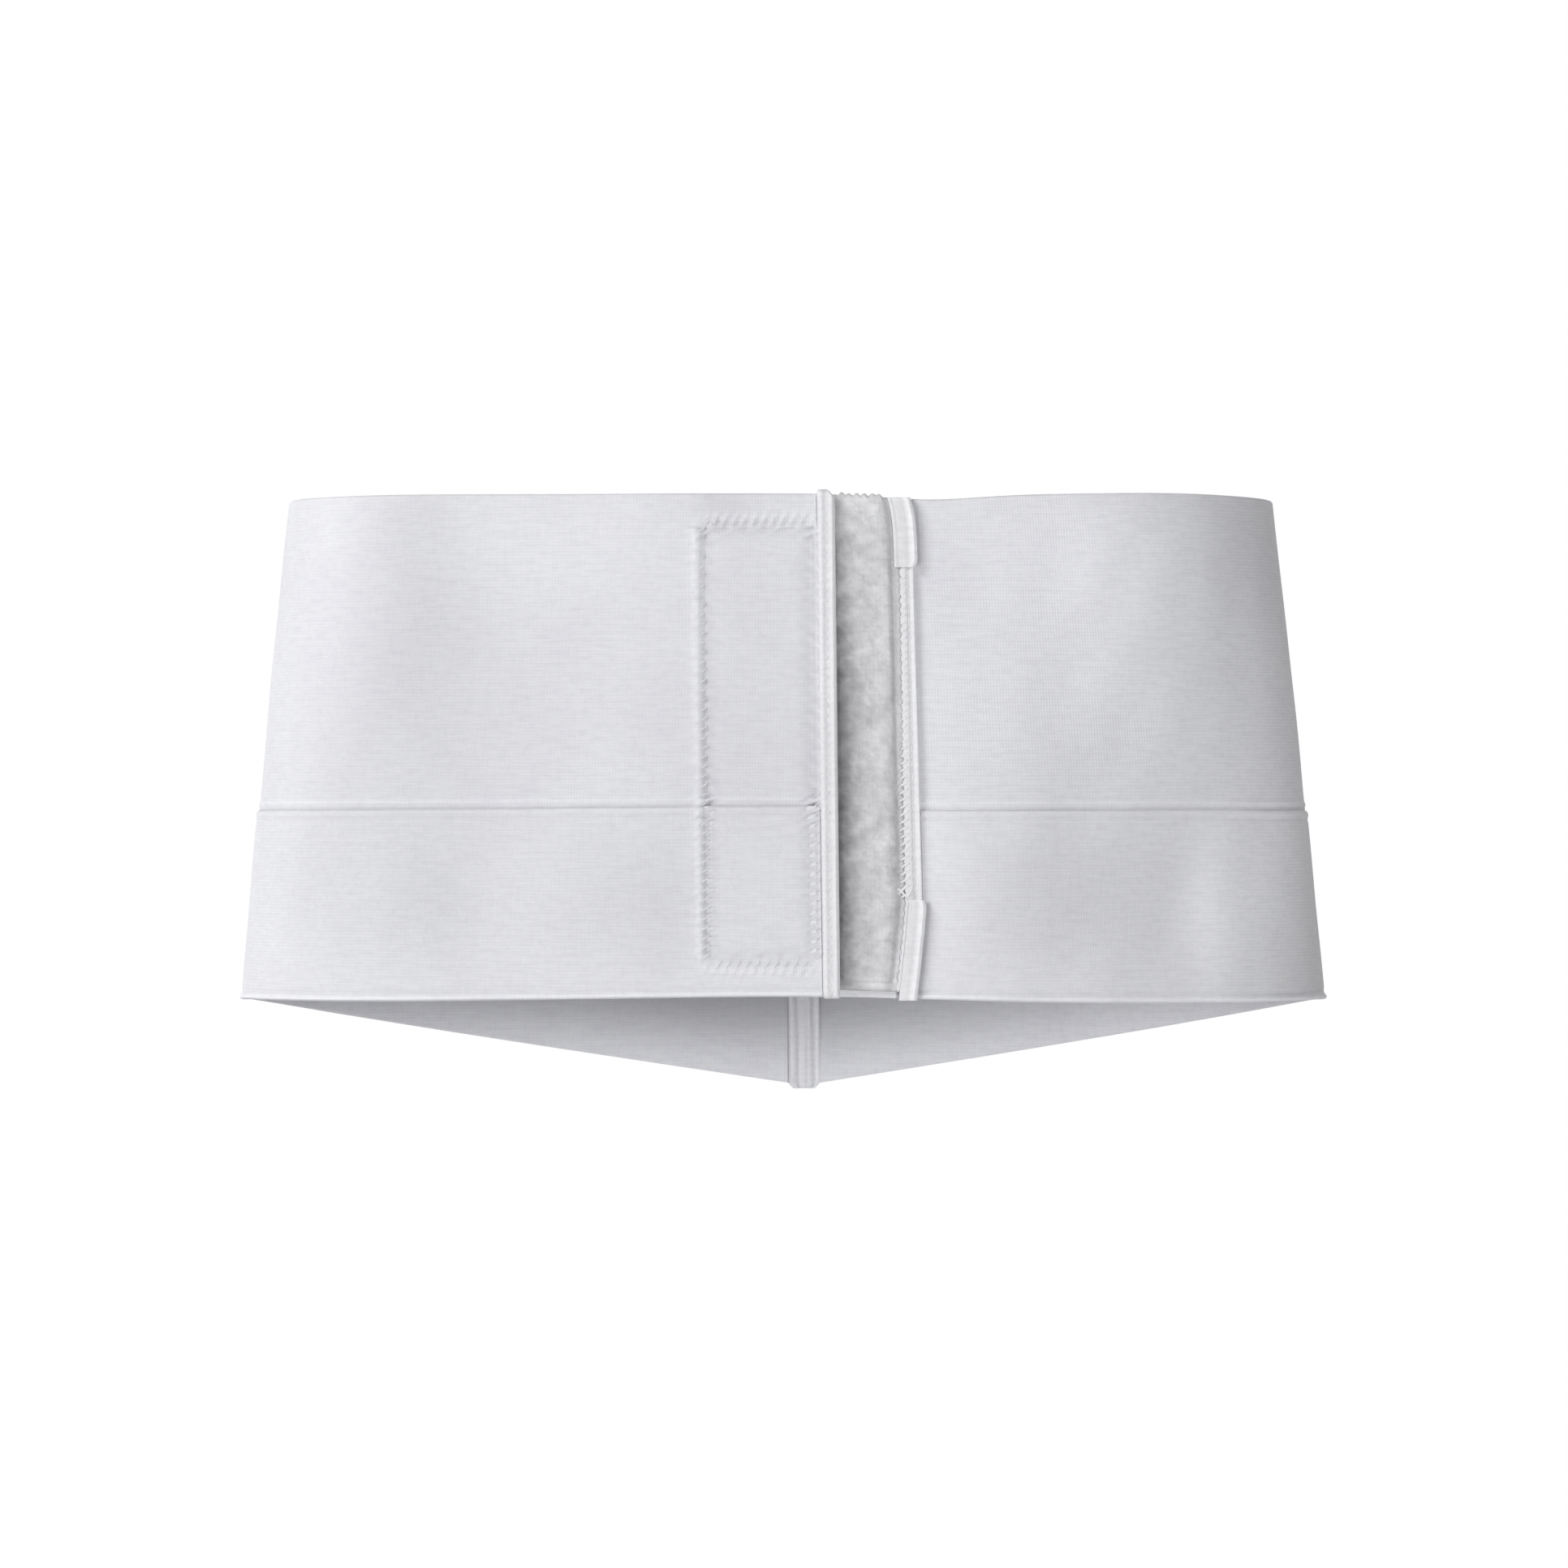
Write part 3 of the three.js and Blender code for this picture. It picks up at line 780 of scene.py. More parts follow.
def wrappedNet(start, end, shares, steps):
    # Angles and levels of a sheet between two lines: each row keeps its share of the full height.
    levels = mix(bottom, top, shares)
    fromAngle = start(levelAt(start(levels), shares))
    toAngle = end(levelAt(end(levels), shares))
    angle = fromAngle[:, None] + (toAngle - fromAngle)[:, None] * steps[None, :]
    return angle, levelAt(angle, shares[:, None])


sheetEdge = {"radius": 0.7 * mm, "endRadius": 0.6 * mm, "thinnest": 0.12}


def clothShell(
    name, node, slotName, angle, z, innerOut, outerOut, tone=1.0, innerTone=1.0,
    endRadius=sheetEdge["endRadius"], lying=False, edges=None,
):
    # A sheet whose four edges are rounded: near an edge both faces draw towards its middle, or, where it
    # lies on another sheet, the outer face draws towards the inner one.
    rowEdges, columnEdges = edges or edgeDistances(angle, z)
    half = (outerOut - innerOut) / 2
    edge = rounded(rowEdges, sheetEdge["radius"]) * rounded(columnEdges, endRadius)
    narrowing = mix(sheetEdge["thinnest"], 1, edge)
    middle = innerOut + half * (narrowing if lying else 1)
    outer = onForm(angle, z, middle + half * narrowing)
    inner = onForm(angle, z, middle - half * narrowing)
    across = np.broadcast_to(arcLengths(outer)[len(outer) // 2], angle.shape)
    made = shell(name, outer, inner, across, z, cloths[slotName], tone, innerTone)
    declare(made, node)


def edgeDistances(angle, z):
    # Distances of a net's points from its lower or upper edge, and from its nearer end.
    fromEdge = np.minimum(z - z[:1], z[-1:] - z)
    places = arcLengths(onForm(angle, z, 0))
    return fromEdge, np.minimum(places, places[:, -1:] - places)


# The lines that the pieces run between: angles round the trunk at each level.
frontAngle = lambda line: lambda z: angleAt(line(z), z)
rightBack = lambda z: angleAt(backSeam - gap / 2, z, True) - wholeTurn
leftBack = lambda z: angleAt(backSeam + gap / 2, z, True)
panelEnd = frontAngle(closureLine(closure["lapEdge"] - walls["binding"] - gap))
bindingSide = lambda z: closureLine(closure["lapEdge"] - closure["bindingWidth"])(z) + bindingTaper(z)
underlapEnd = frontAngle(closureLine(closure["underlapEdge"] - closure["underlapWidth"]))
rightBandFront = frontAngle(lambda z: bindingSide(z) - 0.05 * mm)
leftBandFront = frontAngle(lambda z: underlapLine(z) + 0.12 * mm)

# The panels: their rows crowd at the rims and where the stitches run, and their columns at the closure.
panels = {
    "rows": ladder(
        0, (0.003, 4), (0.02, 6), (0.36, 14), (0.379, 10), (0.402, 16),
        (0.91, 43), (0.975, 20), (0.993, 6), (1, 7),
    ),
    "rightSteps": ladder(
        0, (0.0003, 1), (0.004, 4), (0.58, 110), (0.895, 110), (0.925, 34), (0.975, 46), (0.996, 24), (1, 5)
    ),
    "leftSteps": ladder(0, (0.004, 4), (0.14, 30), (0.19, 34), (0.5, 110), (0.996, 140), (0.9997, 4), (1, 1)),
    "flatRight": (0.44, 0.166),  # slack size, before it is stretched round the trunk
    "flatLeft": (0.5, 0.166),
    "endRadius": 0.15 * mm,
    "stepBelow": 0.011,  # of the height: the wall thickens this far under the band's top edge
    "stepHeight": 0.006,
    "fold": 0.32 * mm,  # the small fold above the lower band
    "foldAt": 2.1 * mm,
    "foldWidth": 0.75 * mm,
    # painted light on the small fold, and painted shade in the crease under it
    "foldLight": 0.08,
    "creaseAt": 0.15 * mm,
    "creaseWidth": 0.55 * mm,
    "creaseShade": 0.12,
    "footLight": 0.1,  # the inner face of the back is painted lighter by this at its foot,
    "footHeight": 32 * mm,
    "innerShade": 0.34,  # painted darker by this a little higher,
    "innerLight": 0.2,  # and painted lighter again by this towards its top
    "innerHeight": 0.8,  # of the side's height: how slowly it gets lighter again
    "tapeShade": 0.08,  # the soft painted shadow beside the underlap's edge
    "tapeShadeAt": 1.2 * mm,
    "tapeShadeWidth": 1.7 * mm,
    "tabShade": 0.34,  # and the painted shadow close beside its two tabs
    "tabShadeAt": 1.9 * mm,
    "tabShadeWidth": 0.95 * mm,
    "tabFade": 1.5 * mm,
}


def paintedTapeShadow(x, y, z):
    # A painted shadow: a bell beside the sewn edge, and a narrow one beside each tab.
    fade = panels["tabFade"]
    besideTab = smooth((z - upperTabFoot) / fade) + smooth((lowerTabHead - z) / fade)
    away = x - underlapLine(z)
    wide = panels["tapeShade"] * bell(away - panels["tapeShadeAt"], panels["tapeShadeWidth"])
    narrow = panels["tabShade"] * besideTab * bell(away - panels["tabShadeAt"], panels["tabShadeWidth"])
    return (wide + narrow) * (y < 0)


def paintedReliefShade(x, y, z, stitched, onLap):
    # Painted light and shade of the folds and of the stitched relief, less the painted shadow beside the
    # tape.
    tone = paintedFoldShade(x, y, z) + stitchBox["tone"] * stitched / mm
    return tone if onLap else tone - paintedTapeShadow(x, y, z)


def seamFold(angle, z):
    # The panel's small fold above the lower band, with painted light on it and painted shade in the crease
    # under it.
    above = z - levelAt(angle, outline["seamShare"])
    fold = bell(above - panels["foldAt"], panels["foldWidth"])
    crease = bell(above - panels["creaseAt"], panels["creaseWidth"])
    return panels["fold"] * fold, panels["foldLight"] * fold - panels["creaseShade"] * crease


def paintedInsideShade(fromFoot):
    # Painted light at the foot, painted shade above it, and painted slowly lighter again towards the top.
    shaded = panels["innerShade"] * smooth(fromFoot / panels["footHeight"])
    above = fromFoot - panels["footHeight"]
    lighter = panels["innerLight"] * smooth(above / (panels["innerHeight"] * trunk["sideHeight"]))
    return panels["footLight"] - shaded + lighter


def panel(name, node, start, end, steps, lift):
    # The outside is the lift, the wall, the stitched relief on the lap, and the small fold.
    onLap = lift is lapLift
    shares = panels["rows"]
    angle, z = wrappedNet(start, end, shares, steps)
    x, y = onFormPlace(angle, z)
    stepUp = smooth((shares - outline["seamShare"] + panels["stepBelow"]) / panels["stepHeight"])[:, None]
    stitched = boxRelief(x, z, y) * stepUp if onLap else 0
    folded, foldedTone = seamFold(angle, z)
    raised = lift(angle, z)
    outer = raised + mix(walls["backed"], walls["panel"], stepUp) + stitched + folded
    tone = paintedReliefShade(x, y, z, stitched, onLap) + foldedTone
    innerTone = 1 + paintedInsideShade(z - z[:1]) * frontness(-y, halfDepth(z))
    endRadius = panels["endRadius"]
    clothShell(name, node, "elastic_cloth", angle, z, raised, outer, tone, innerTone, endRadius)


panel("rightPanel", "right_panel", rightBack, panelEnd, panels["rightSteps"], lapLift)
panel("leftPanel", "left_panel", underlapEnd, leftBack, panels["leftSteps"], noLift)
print("binder: panels made")

# The lower bands: a rolled hem at the bottom, and a folded, stitched edge at the top.
bands = {
    "rows": ladder(0, (0.012, 4), (0.06, 14), (0.18, 20), (0.9, 40), (0.985, 22), (1, 5)),
    "rightSteps": ladder(
        0, (0.0003, 1), (0.004, 3), (0.58, 100), (0.895, 104),
        (0.93, 34), (0.975, 44), (0.996, 22), (0.9999, 4), (1, 1),
    ),
    "leftSteps": ladder(
        0, (0.0001, 1), (0.0012, 3), (0.02, 16), (0.35, 130), (0.996, 170), (0.9997, 3), (1, 1)
    ),
    "endRadius": 0.03 * mm,
    "hemHeight": 1.9 * mm,
    "hemBulge": 0.6 * mm,
    # painted light on the hem's bead, and painted shade in its groove
    "hemLight": 0.14,
    "hemGrooveAt": 1.4,  # in hem heights
    "hemGroove": 0.22 * mm,
    "hemShade": 0.04,
    "headStep": 0.38 * mm,  # the inner face climbs onto the panel's thicker part
    "headStepAt": 2.6 * mm,
    "headBead": 0.22 * mm,  # the folded top edge
    "headBeadAt": 1.2 * mm,
    # painted light on the top edge's bead, and painted shade in its groove
    "headLight": 0.02,
    "headGroove": 0.16 * mm,
    "headGrooveAt": 3.0 * mm,
    "headShade": 0.03,
    "beadWidth": 0.8 * mm,
    "grooveWidth": 0.6 * mm,
    # painted shade along the band's top edge
    "edgeShade": 0.14,
    "edgeWidth": 0.4 * mm,
    "flatRight": (0.42, 0.066),
    "flatLeft": (0.45, 0.066),
}


def bandRelief(z):
    # A bead and a groove below the top edge, and a bead with a faint groove above the bottom edge. The tone
    # paints light on the beads, and shade in the grooves and along the top edge.
    up = z - z[:1]
    down = z[-1:] - z
    bead = bell(down - bands["headBeadAt"], bands["beadWidth"])
    groove = bell(down - bands["headGrooveAt"], bands["grooveWidth"])
    hem = bell(up - bands["hemHeight"] / 2, bands["hemHeight"] / 2)
    hemGroove = bell(up - bands["hemGrooveAt"] * bands["hemHeight"], bands["beadWidth"])
    relief = bands["headBead"] * bead - bands["headGroove"] * groove + bands["hemBulge"] * hem
    tone = bands["headLight"] * bead - bands["headShade"] * groove + bands["hemLight"] * hem
    tone = tone - bands["hemShade"] * hemGroove - bands["edgeShade"] * bell(down, bands["edgeWidth"])
    return relief - bands["hemGroove"] * hemGroove, tone


def lowerBand(name, node, start, end, steps, lift):
    # The outside is the lift, the band's height, its beads and grooves, and the stitched relief on the lap.
    onLap = lift is lapLift
    angle, z = wrappedNet(start, end, bands["rows"] * outline["seamShare"], steps)
    x, y = onFormPlace(angle, z)
    stitched = boxRelief(x, z, y) if onLap else 0
    folded, edgeTone = bandRelief(z)
    raised = lift(angle, z)
    inner = raised + bandIn + bands["headStep"] * smooth((z - z[-1:] + bands["headStepAt"]) / mm)
    outer = raised + bandOut + folded + stitched
    tone = paintedReliefShade(x, y, z, stitched, onLap) + edgeTone
    endRadius = bands["endRadius"]
    clothShell(name, node, "band_cloth", angle, z, inner, outer, tone, 1.0, endRadius, lying=True)


lowerBand(
    "rightLowerBand", "right_lower_band",
    rightBack, rightBandFront, bands["rightSteps"], lapLift,
)
lowerBand(
    "leftLowerBand", "left_lower_band",
    leftBandFront, leftBack, bands["leftSteps"], noLift,
)
print("binder: lower bands made")


def carriedStrip(name, node, x, out, levels, tone, back=False):
    # A tape's section carried up the front or the back. All are (stations, section points), or spread to
    # that, so that an end may be bumpy or cut at an angle.
    x, out, levels = np.broadcast_arrays(x, out, levels)
    rings = onForm(angleAt(x, levels, back), levels, out)
    loop = np.concatenate([rings, rings[:, :1]], axis=1)
    made = carried(name, rings, arcLengths(loop)[:, :-1], levels, cloths["tape_cloth"], tone)
    declare(made, node)


def endShrink(levels, radius):
    # 1 along a strip, and less close to its ends, so that they are rounded.
    fromEnd = np.minimum(levels - levels[0], levels[-1] - levels)
    return rounded(fromEnd + 0.02 * mm, radius)


# The folded tape round the lapping edge.
binding = {
    "over": 1.4 * mm,  # above the top edge
    "under": 0.4 * mm,
    "legShare": 0.84,  # of the width: the flat leg, and the rest is the round fold
    "edgeRadius": 0.6 * mm,
    "edgeSink": 0.7,  # in walls
    "ridge": 0.46 * mm,
    "ridges": ((0.2, 0.14), (0.76, 0.15)),  # place and spread of each, in widths
    # painted highlight on the ridges, and below, painted shade in the groove
    "ridgeLight": 0.05,
    "groove": 0.42 * mm,
    "grooveAt": 0.48,
    "grooveWidth": 0.12,
    "grooveShade": 0.1,
    "pucker": 0.14 * mm,
    "puckerWidth": 0.22,
    "pitch": 3.0 * mm,
    "shoulder": 1.7 * mm,  # how far the upper end falls at the fold
    "shoulderHeight": 5 * mm,
    "endRadius": 1.5 * mm,
    "endWidth": 0.8,  # how wide and how thick the two ends are
    "endThickness": 0.35,
}
legOut = lapIn + walls["panel"] + gap + walls["binding"]


def frontEdgeBinding():
    # Outer leg with two ridges and a groove, a round fold, the inner leg, and back along the slot.
    wall, width, legShare = walls["binding"], closure["bindingWidth"], binding["legShare"]
    leg = np.linspace(0, legShare, 22)
    raisedParts = sum(bell(leg - at, spread) for at, spread in binding["ridges"])
    sunkPart = bell(leg - binding["grooveAt"], binding["grooveWidth"])
    ridges = binding["ridge"] * raisedParts - binding["groove"] * sunkPart
    edge = rounded(leg * width + 0.05 * mm, binding["edgeRadius"])
    legLine = legOut + ridges - (1 - edge) * binding["edgeSink"] * wall
    turn = np.linspace(math.pi / 2, -math.pi / 2, 12)[1:-1]
    foldMiddle = (hookIn + legOut) / 2
    foldX = (legShare + np.cos(turn) * (1 - legShare)) * width
    foldOut = foldMiddle + np.sin(turn) * (legOut - hookIn) / 2
    innerLeg = np.linspace(legShare, 0, 6) * width
    slot = np.array([0, 0.4, 0.75, 1.0]) * (width - wall)
    sectionX = np.concatenate([leg * width, foldX, innerLeg, slot, slot[::-1]])
    backOut = np.repeat([hookIn, hookIn + wall, legOut - wall], [len(innerLeg), len(slot), len(slot)])
    sectionOut = np.concatenate([legLine, foldOut, backOut])
    shares = ladder(0, (0.012, 10), (0.988, 260), (1, 10))[:, None]
    levels = frontLevels(closure["lapEdge"] - width / 2, shares, -binding["under"], -binding["over"])
    shrink = endShrink(levels, binding["endRadius"])
    out = foldMiddle + (sectionOut - foldMiddle) * mix(binding["endThickness"], 1, shrink)
    pucker = binding["pucker"] * np.sin(wholeTurn * levels / binding["pitch"])
    onTop = bell(sectionX / width - binding["grooveAt"], binding["puckerWidth"])
    onTop = onTop * (sectionOut > foldMiddle + wall)
    out = out - pucker * onTop * shrink
    wide = width / 2 + (sectionX - width / 2) * mix(binding["endWidth"], 1, shrink)
    x = slanted(closure["lapEdge"] - (width - wide) * (1 - bindingTaper(levels) / width), levels)
    fallen = binding["shoulder"] * smooth((sectionX / width - 0.5) / 0.5) ** 1.5
    sloped = levels - fallen * smooth((levels - levels[-1]) / binding["shoulderHeight"] + 1)
    # Painted highlights on the ridges, and painted shade in the groove.
    tone = np.ones(len(sectionX))
    tone[: len(leg)] = 1 + binding["ridgeLight"] * raisedParts - binding["grooveShade"] * sunkPart
    carriedStrip("frontEdgeBinding", "front_edge_binding", x, out, sloped, tone)


frontEdgeBinding()
print("binder: front edge binding made")


# The hook strip behind the lapping edge. It is out of sight, and plainly finished.
def hookPatch():
    # Flat, between two lines that slant with the closure.
    shares = ladder(0, (0.01, 4), (0.99, 60), (1, 4))[:, None]
    steps = ladder(0, (0.02, 3), (0.98, 24), (1, 3))[None, :]
    x = closure["lapEdge"] - closure["bindingWidth"] - gap - closure["hookWidth"] * (1 - steps)
    z = frontLevels(x, shares, closure["hookMargin"], closure["hookMargin"])
    angle = angleAt(slanted(x, z), z)
    clothShell("hookPatch", "hook_patch", "hook_cloth", angle, z, hookIn, hookOut)


hookPatch()


# The brushed pile strip on the underlap.
pile = {
    "tuft": 0.28 * mm,  # how far the tufts stand out
    "tuftSize": 1.8 * mm,
    "hair": 0.06 * mm,
    "hairSize": 0.6 * mm,
    "pressed": 0.9 * mm,  # how much lower it lies under the lap
    "topRise": 0.7 * mm,  # above the panels' rim
    "topBump": 1.0 * mm,  # how ragged the upper end is
    "bumpPitch": 2.4 * mm,
    "lapShade": 0.1,  # the narrow painted shadow beside the lap, and the wide one that fades towards the top
    "lapReach": 2.4 * mm,
    "wideShade": 0.5,
    "wideReach": 7.5 * mm,
    "mottle": 0.075,
    "mottleSize": 4.6 * mm,
    # painted light towards the top and towards the foot
    "topLight": 0.05,
    "footLight": 0.15,
    "slopeShade": 0.23,  # painted shade in the valley beside the edge tape
    "slopeReach": 1.8 * mm,
    "fall": 1.8 * mm,  # the width in which the pile falls to the base cloth
    "hemHeight": 3.2 * mm,
    "hem": 0.7 * mm,
    "rows": 330,
    "flat": (0.072, 0.158),
}


def latticeNoise(x, z, size, seed):
    # Random heights on a square lattice, joined by smooth steps: from -1 to 1.
    table = np.random.default_rng(seed).uniform(-1, 1, (64, 64))
    u, v = x / size, z / size
    column, row = np.floor(u).astype(int), np.floor(v).astype(int)
    across, up = smooth(u - column), smooth(v - row)
    at = lambda i, j: table[(row + j) % 64, (column + i) % 64]
    return mix(mix(at(0, 0), at(1, 0), across), mix(at(0, 1), at(1, 1), across), up)


def loopPanel():
    # Base cloth all over, and pile from the hidden side to a soft slope beside the sewn edge.
    shares = ladder(0, (0.022, 16), (0.985, pile["rows"]), (1, 8))[:, None]
    reach = ladder(0, (0.02, 2), (0.5, 12), (0.87, 56), (0.92, 10), (0.985, 8), (1, 5))[None, :]
    hidden = closureLine(closure["underlapEdge"] - closure["loopWidth"])
    z = frontLevels(mix(hidden(0.0), underlapLine(0.0), reach), shares, closure["loopMargin"], 0)
    x = mix(hidden(z), underlapLine(z), reach)
    fromSewn = underlapLine(z) - x
    fromLap = x - closureLine(closure["lapEdge"])(z)
    beyondLap = np.maximum(fromLap, 0)
    up = z - z[:1]
    share = heightShare(z)

    height = smooth((fromSewn - closure["pileMargin"] + pile["fall"]) / pile["fall"])
    tufts = pile["tuft"] * latticeNoise(x + 0.4 * z, z, pile["tuftSize"], 5)
    tufts = tufts + 0.6 * pile["tuft"] * latticeNoise(x - 0.7 * z, z, 2.3 * pile["tuftSize"], 6)
    hairs = pile["hair"] * latticeNoise(x + 0.5 * z, z, pile["hairSize"], 7)
    outer = mix(selvageOut, loopOut, height) + (tufts + hairs) * mix(0.12, 1, height) - 0.1 * mm
    outer = np.minimum(outer, mix(selvageOut, loopOut + 0.24 * mm, height))
    outer = outer - pile["pressed"] * smooth((1.6 * mm - fromLap) / (2.2 * mm))
    hem = selvageOut + pile["hem"] * bell(up - 1.3 * mm, 0.9 * mm)
    outer = mix(outer, hem, smooth((pile["hemHeight"] - up) / (1.2 * mm)))

    # The tone: random mottle, painted shadow beside the lap and in the valley by the tape, and painted light
    # at the top and the foot.
    mottled = tufts / pile["tuft"] + latticeNoise(x - 0.5 * z, z, pile["mottleSize"], 15)
    wide = bell(beyondLap, pile["wideReach"]) * smooth((1.1 - share) / 0.6)
    valley = closure["pileMargin"] - (0.2 + 1.2 * smooth((share - 0.45) / 0.3)) * mm
    tone = 1 - pile["lapShade"] * bell(beyondLap, pile["lapReach"]) - pile["wideShade"] * wide
    tone = tone - pile["slopeShade"] * bell(fromSewn - valley, pile["slopeReach"])
    tone = tone + pile["mottle"] * mottled * height
    tone = tone + pile["topLight"] * smooth((share - 0.85) / 0.15)
    tone = tone + pile["footLight"] * smooth((0.2 - share) / 0.2)

    # The upper end is ragged where it shows, right of the lap.
    rightOfLap = smooth((x - closure["lapEdge"] + 1.2 * mm) / (1.5 * mm))
    ragged = smooth((shares - 0.975) / 0.025) * height * rightOfLap
    bumps = np.abs(np.sin(math.pi * x / pile["bumpPitch"])) - 0.7 + 0.4 * latticeNoise(x, 0 * z, 1.7 * mm, 12)
    raggedZ = z + (pile["topBump"] * bumps + pile["topRise"]) * ragged
    angle = angleAt(x, z)
    edges = edgeDistances(angle, z)
    clothShell(
        "loopPanel", "loop_panel", "pile_cloth",
        angle, raggedZ, loopIn, outer, tone, edges=edges,
    )


loopPanel()
print("binder: hook patch and loop panel made")

# The narrow tape down the underlap's sewn edge.
edgeTape = {
    "margin": 0.05 * mm,
    "highWidth": 4.0 * mm,
    "lowWidth": 5.0 * mm,
    "grooveAt": 0.46,  # of the width, from the sewn edge
    "groove": 0.55 * mm,
    "scallop": 0.5 * mm,
    "pitch": 3.0 * mm,
    "stitchPitch": 2.3 * mm,
    "lipRadius": 0.5 * mm,
    # painted shade in the groove, darker towards the edge beside the pile, and a painted highlight on the
    # ridge by the sewn edge
    "grooveShade": 0.16,
    "edgeShade": 0.04,
    "ridgeLight": 0.07,
}


def tapeLoop(x, out, inner):
    # A flat section: along its outer face, and back along its inner face.
    return np.concatenate([x, x[:, ::-1]], axis=1), np.concatenate([out, np.full_like(out, inner)], axis=1)


def tapeLip(section, width, start, radius):
    # 1 on a flat section, and less close to its two long edges, so that they are rounded.
    return rounded((1 - section) * width + start, radius) * rounded(section * width + start, radius)


def tapeWidth(z):
    # From the narrow top to the wide bottom.
    return mix(edgeTape["lowWidth"], edgeTape["highWidth"], smooth((z + 45 * mm) / (105 * mm)))


def loopEdgeTape():
    # A flat tape with a stitched groove, and a scalloped edge beside the pile.
    shares = ladder(0, (0.01, 6), (0.99, 320), (1, 6))[:, None]
    levels = frontLevels(closure["underlapEdge"] - 3 * mm, shares, closure["loopMargin"], 0)
    section = ladder(0, (0.08, 4), (0.55, 8), (0.92, 10), (1, 4))[None, :]
    width = tapeWidth(levels)
    scallop = edgeTape["scallop"] * np.abs(np.sin(math.pi * levels / edgeTape["pitch"])) * (1 - section) ** 2
    fromEdge = (width + scallop) * (1 - section)
    sunk = bell(fromEdge - edgeTape["grooveAt"] * width, 0.55 * mm)
    dots = 1 + 0.45 * np.sin(wholeTurn * levels / edgeTape["stitchPitch"])
    crown = walls["edgeTape"] * tapeLip(section, width, 0.04 * mm, edgeTape["lipRadius"])
    crown = crown - edgeTape["groove"] * sunk * dots
    out = edgeTapeIn + crown * mix(0.3, 1, endShrink(levels, 0.6 * mm))
    # Painted shade in the groove, darker towards the pile, and a painted highlight on the ridge.
    tone = 1 - edgeTape["grooveShade"] * sunk - edgeTape["edgeShade"] * (1 - section)
    tone = tone + edgeTape["ridgeLight"] * bell((1 - section) * width - 0.9 * mm, 0.8 * mm)
    tone = np.concatenate([tone, np.ones_like(tone)], axis=1)
    x, out = tapeLoop(underlapLine(levels) - edgeTape["margin"] - fromEdge, out, edgeTapeIn)
    carriedStrip("loopEdgeTape", "loop_edge_tape", x, out, levels, tone)


loopEdgeTape()

# The two tabs folded over the ends of the sewn edge.
tabs = {
    "upperWidth": 7.2 * mm,
    "hang": 1.0 * mm,  # how far the upper tab falls beyond the narrow tape
    "hangFrom": 5.95 * mm,
    "lowerWidth": 5.6 * mm,
    "over": 0.4 * mm,
    "edgeRidge": 0.62 * mm,
    "corner": 3.0 * mm,
    "cornerInset": 2.0 * mm,
    "edgeRidgeAt": 1.2 * mm,
    "crease": 0.3 * mm,
    "creaseAt": 2.9 * mm,
    "creaseWidth": 0.8 * mm,
    # painted shade in the crease
    "creaseShade": 0.05,
    "light": 1.13,  # the painted highlight on the rounded edge, and how much darker the flat part is painted
    "flatShade": 0.19,
    "mottle": 0.035,
}


def edgeTab(name, node, width, foot, levels, roundEnd):
    # Flat on the tape, round over the fold, and down beside the edge to the cloth under it.
    wall = walls["tab"]
    flatPart = ladder(width, (width * 0.93, 4), (wall, 22))
    turn = np.linspace(math.pi / 2, 0, 8)[1:]
    foldPart = wall * (1 - np.cos(turn))
    foldOut = tabOut - wall * (1 - np.sin(turn))
    inwards = np.concatenate([flatPart, foldPart, [0.1 * wall, wall], flatPart[::-1]])
    lip = rounded(width - flatPart + 0.04 * mm, 0.6 * mm)
    ridge = tabs["edgeRidge"] * bell(flatPart - tabs["edgeRidgeAt"], 0.9 * mm)
    ridge = ridge - tabs["crease"] * bell(flatPart - tabs["creaseAt"], tabs["creaseWidth"])
    onTop = tabIn + wall * mix(0.3, 1, lip) * mix(0.3, 1, smooth((width - flatPart) / (0.75 * width))) + ridge
    hanging = tabs["hang"] * smooth((inwards - tabs["hangFrom"]) / (0.45 * mm))
    out = np.concatenate([onTop, foldOut, [foot, foot], np.full(len(flatPart), tabIn)]) - hanging
    base = tabIn - hanging
    levels = levels[:, None]
    drop = rounded(np.abs(levels - levels[roundEnd]) + 0.03 * mm, tabs["corner"])
    sink = mix(0.45, 1, np.minimum(drop, endShrink(levels, 0.5 * mm)))
    outer = np.where(out > base + 1e-9, base + (out - base) * sink, out)
    inset = (1 - drop) * tabs["cornerInset"] * clamp(1 - inwards / (4.5 * mm))
    x = underlapLine(levels) + wall + gap - inwards - inset
    # Painted highlight on the rounded edge, painted shade on the flat part and in the crease, and random
    # mottle.
    tone = tabs["light"] - tabs["flatShade"] * smooth((inwards - 1.8 * mm) / (1.3 * mm))
    tone = tone - tabs["creaseShade"] * bell(inwards - tabs["creaseAt"], tabs["creaseWidth"])
    tone = tone + tabs["mottle"] * latticeNoise(x, np.broadcast_to(levels, x.shape), 1.5 * mm, 21)
    carriedStrip(name, node, x, outer, levels, tone)


tabSteps = ladder(0, (0.06, 12), (0.94, 60), (1, 12))
tabPlace = angleAt(closure["underlapEdge"], 0.0)
upperLevels = mix(upperTabFoot, topEdge(tabPlace) + tabs["over"], tabSteps)
lowerLevels = mix(bottomEdge(tabPlace) - tabs["over"], lowerTabHead, tabSteps)
upperFoot = walls["panel"] + gap
lowerFoot = bandOut + bands["hemBulge"] + gap
edgeTab("upperEdgeTab", "upper_edge_tab", tabs["upperWidth"], upperFoot, upperLevels, 0)
edgeTab("lowerEdgeTab", "lower_edge_tab", tabs["lowerWidth"], lowerFoot, lowerLevels, -1)
print("binder: edge tape and tabs made")

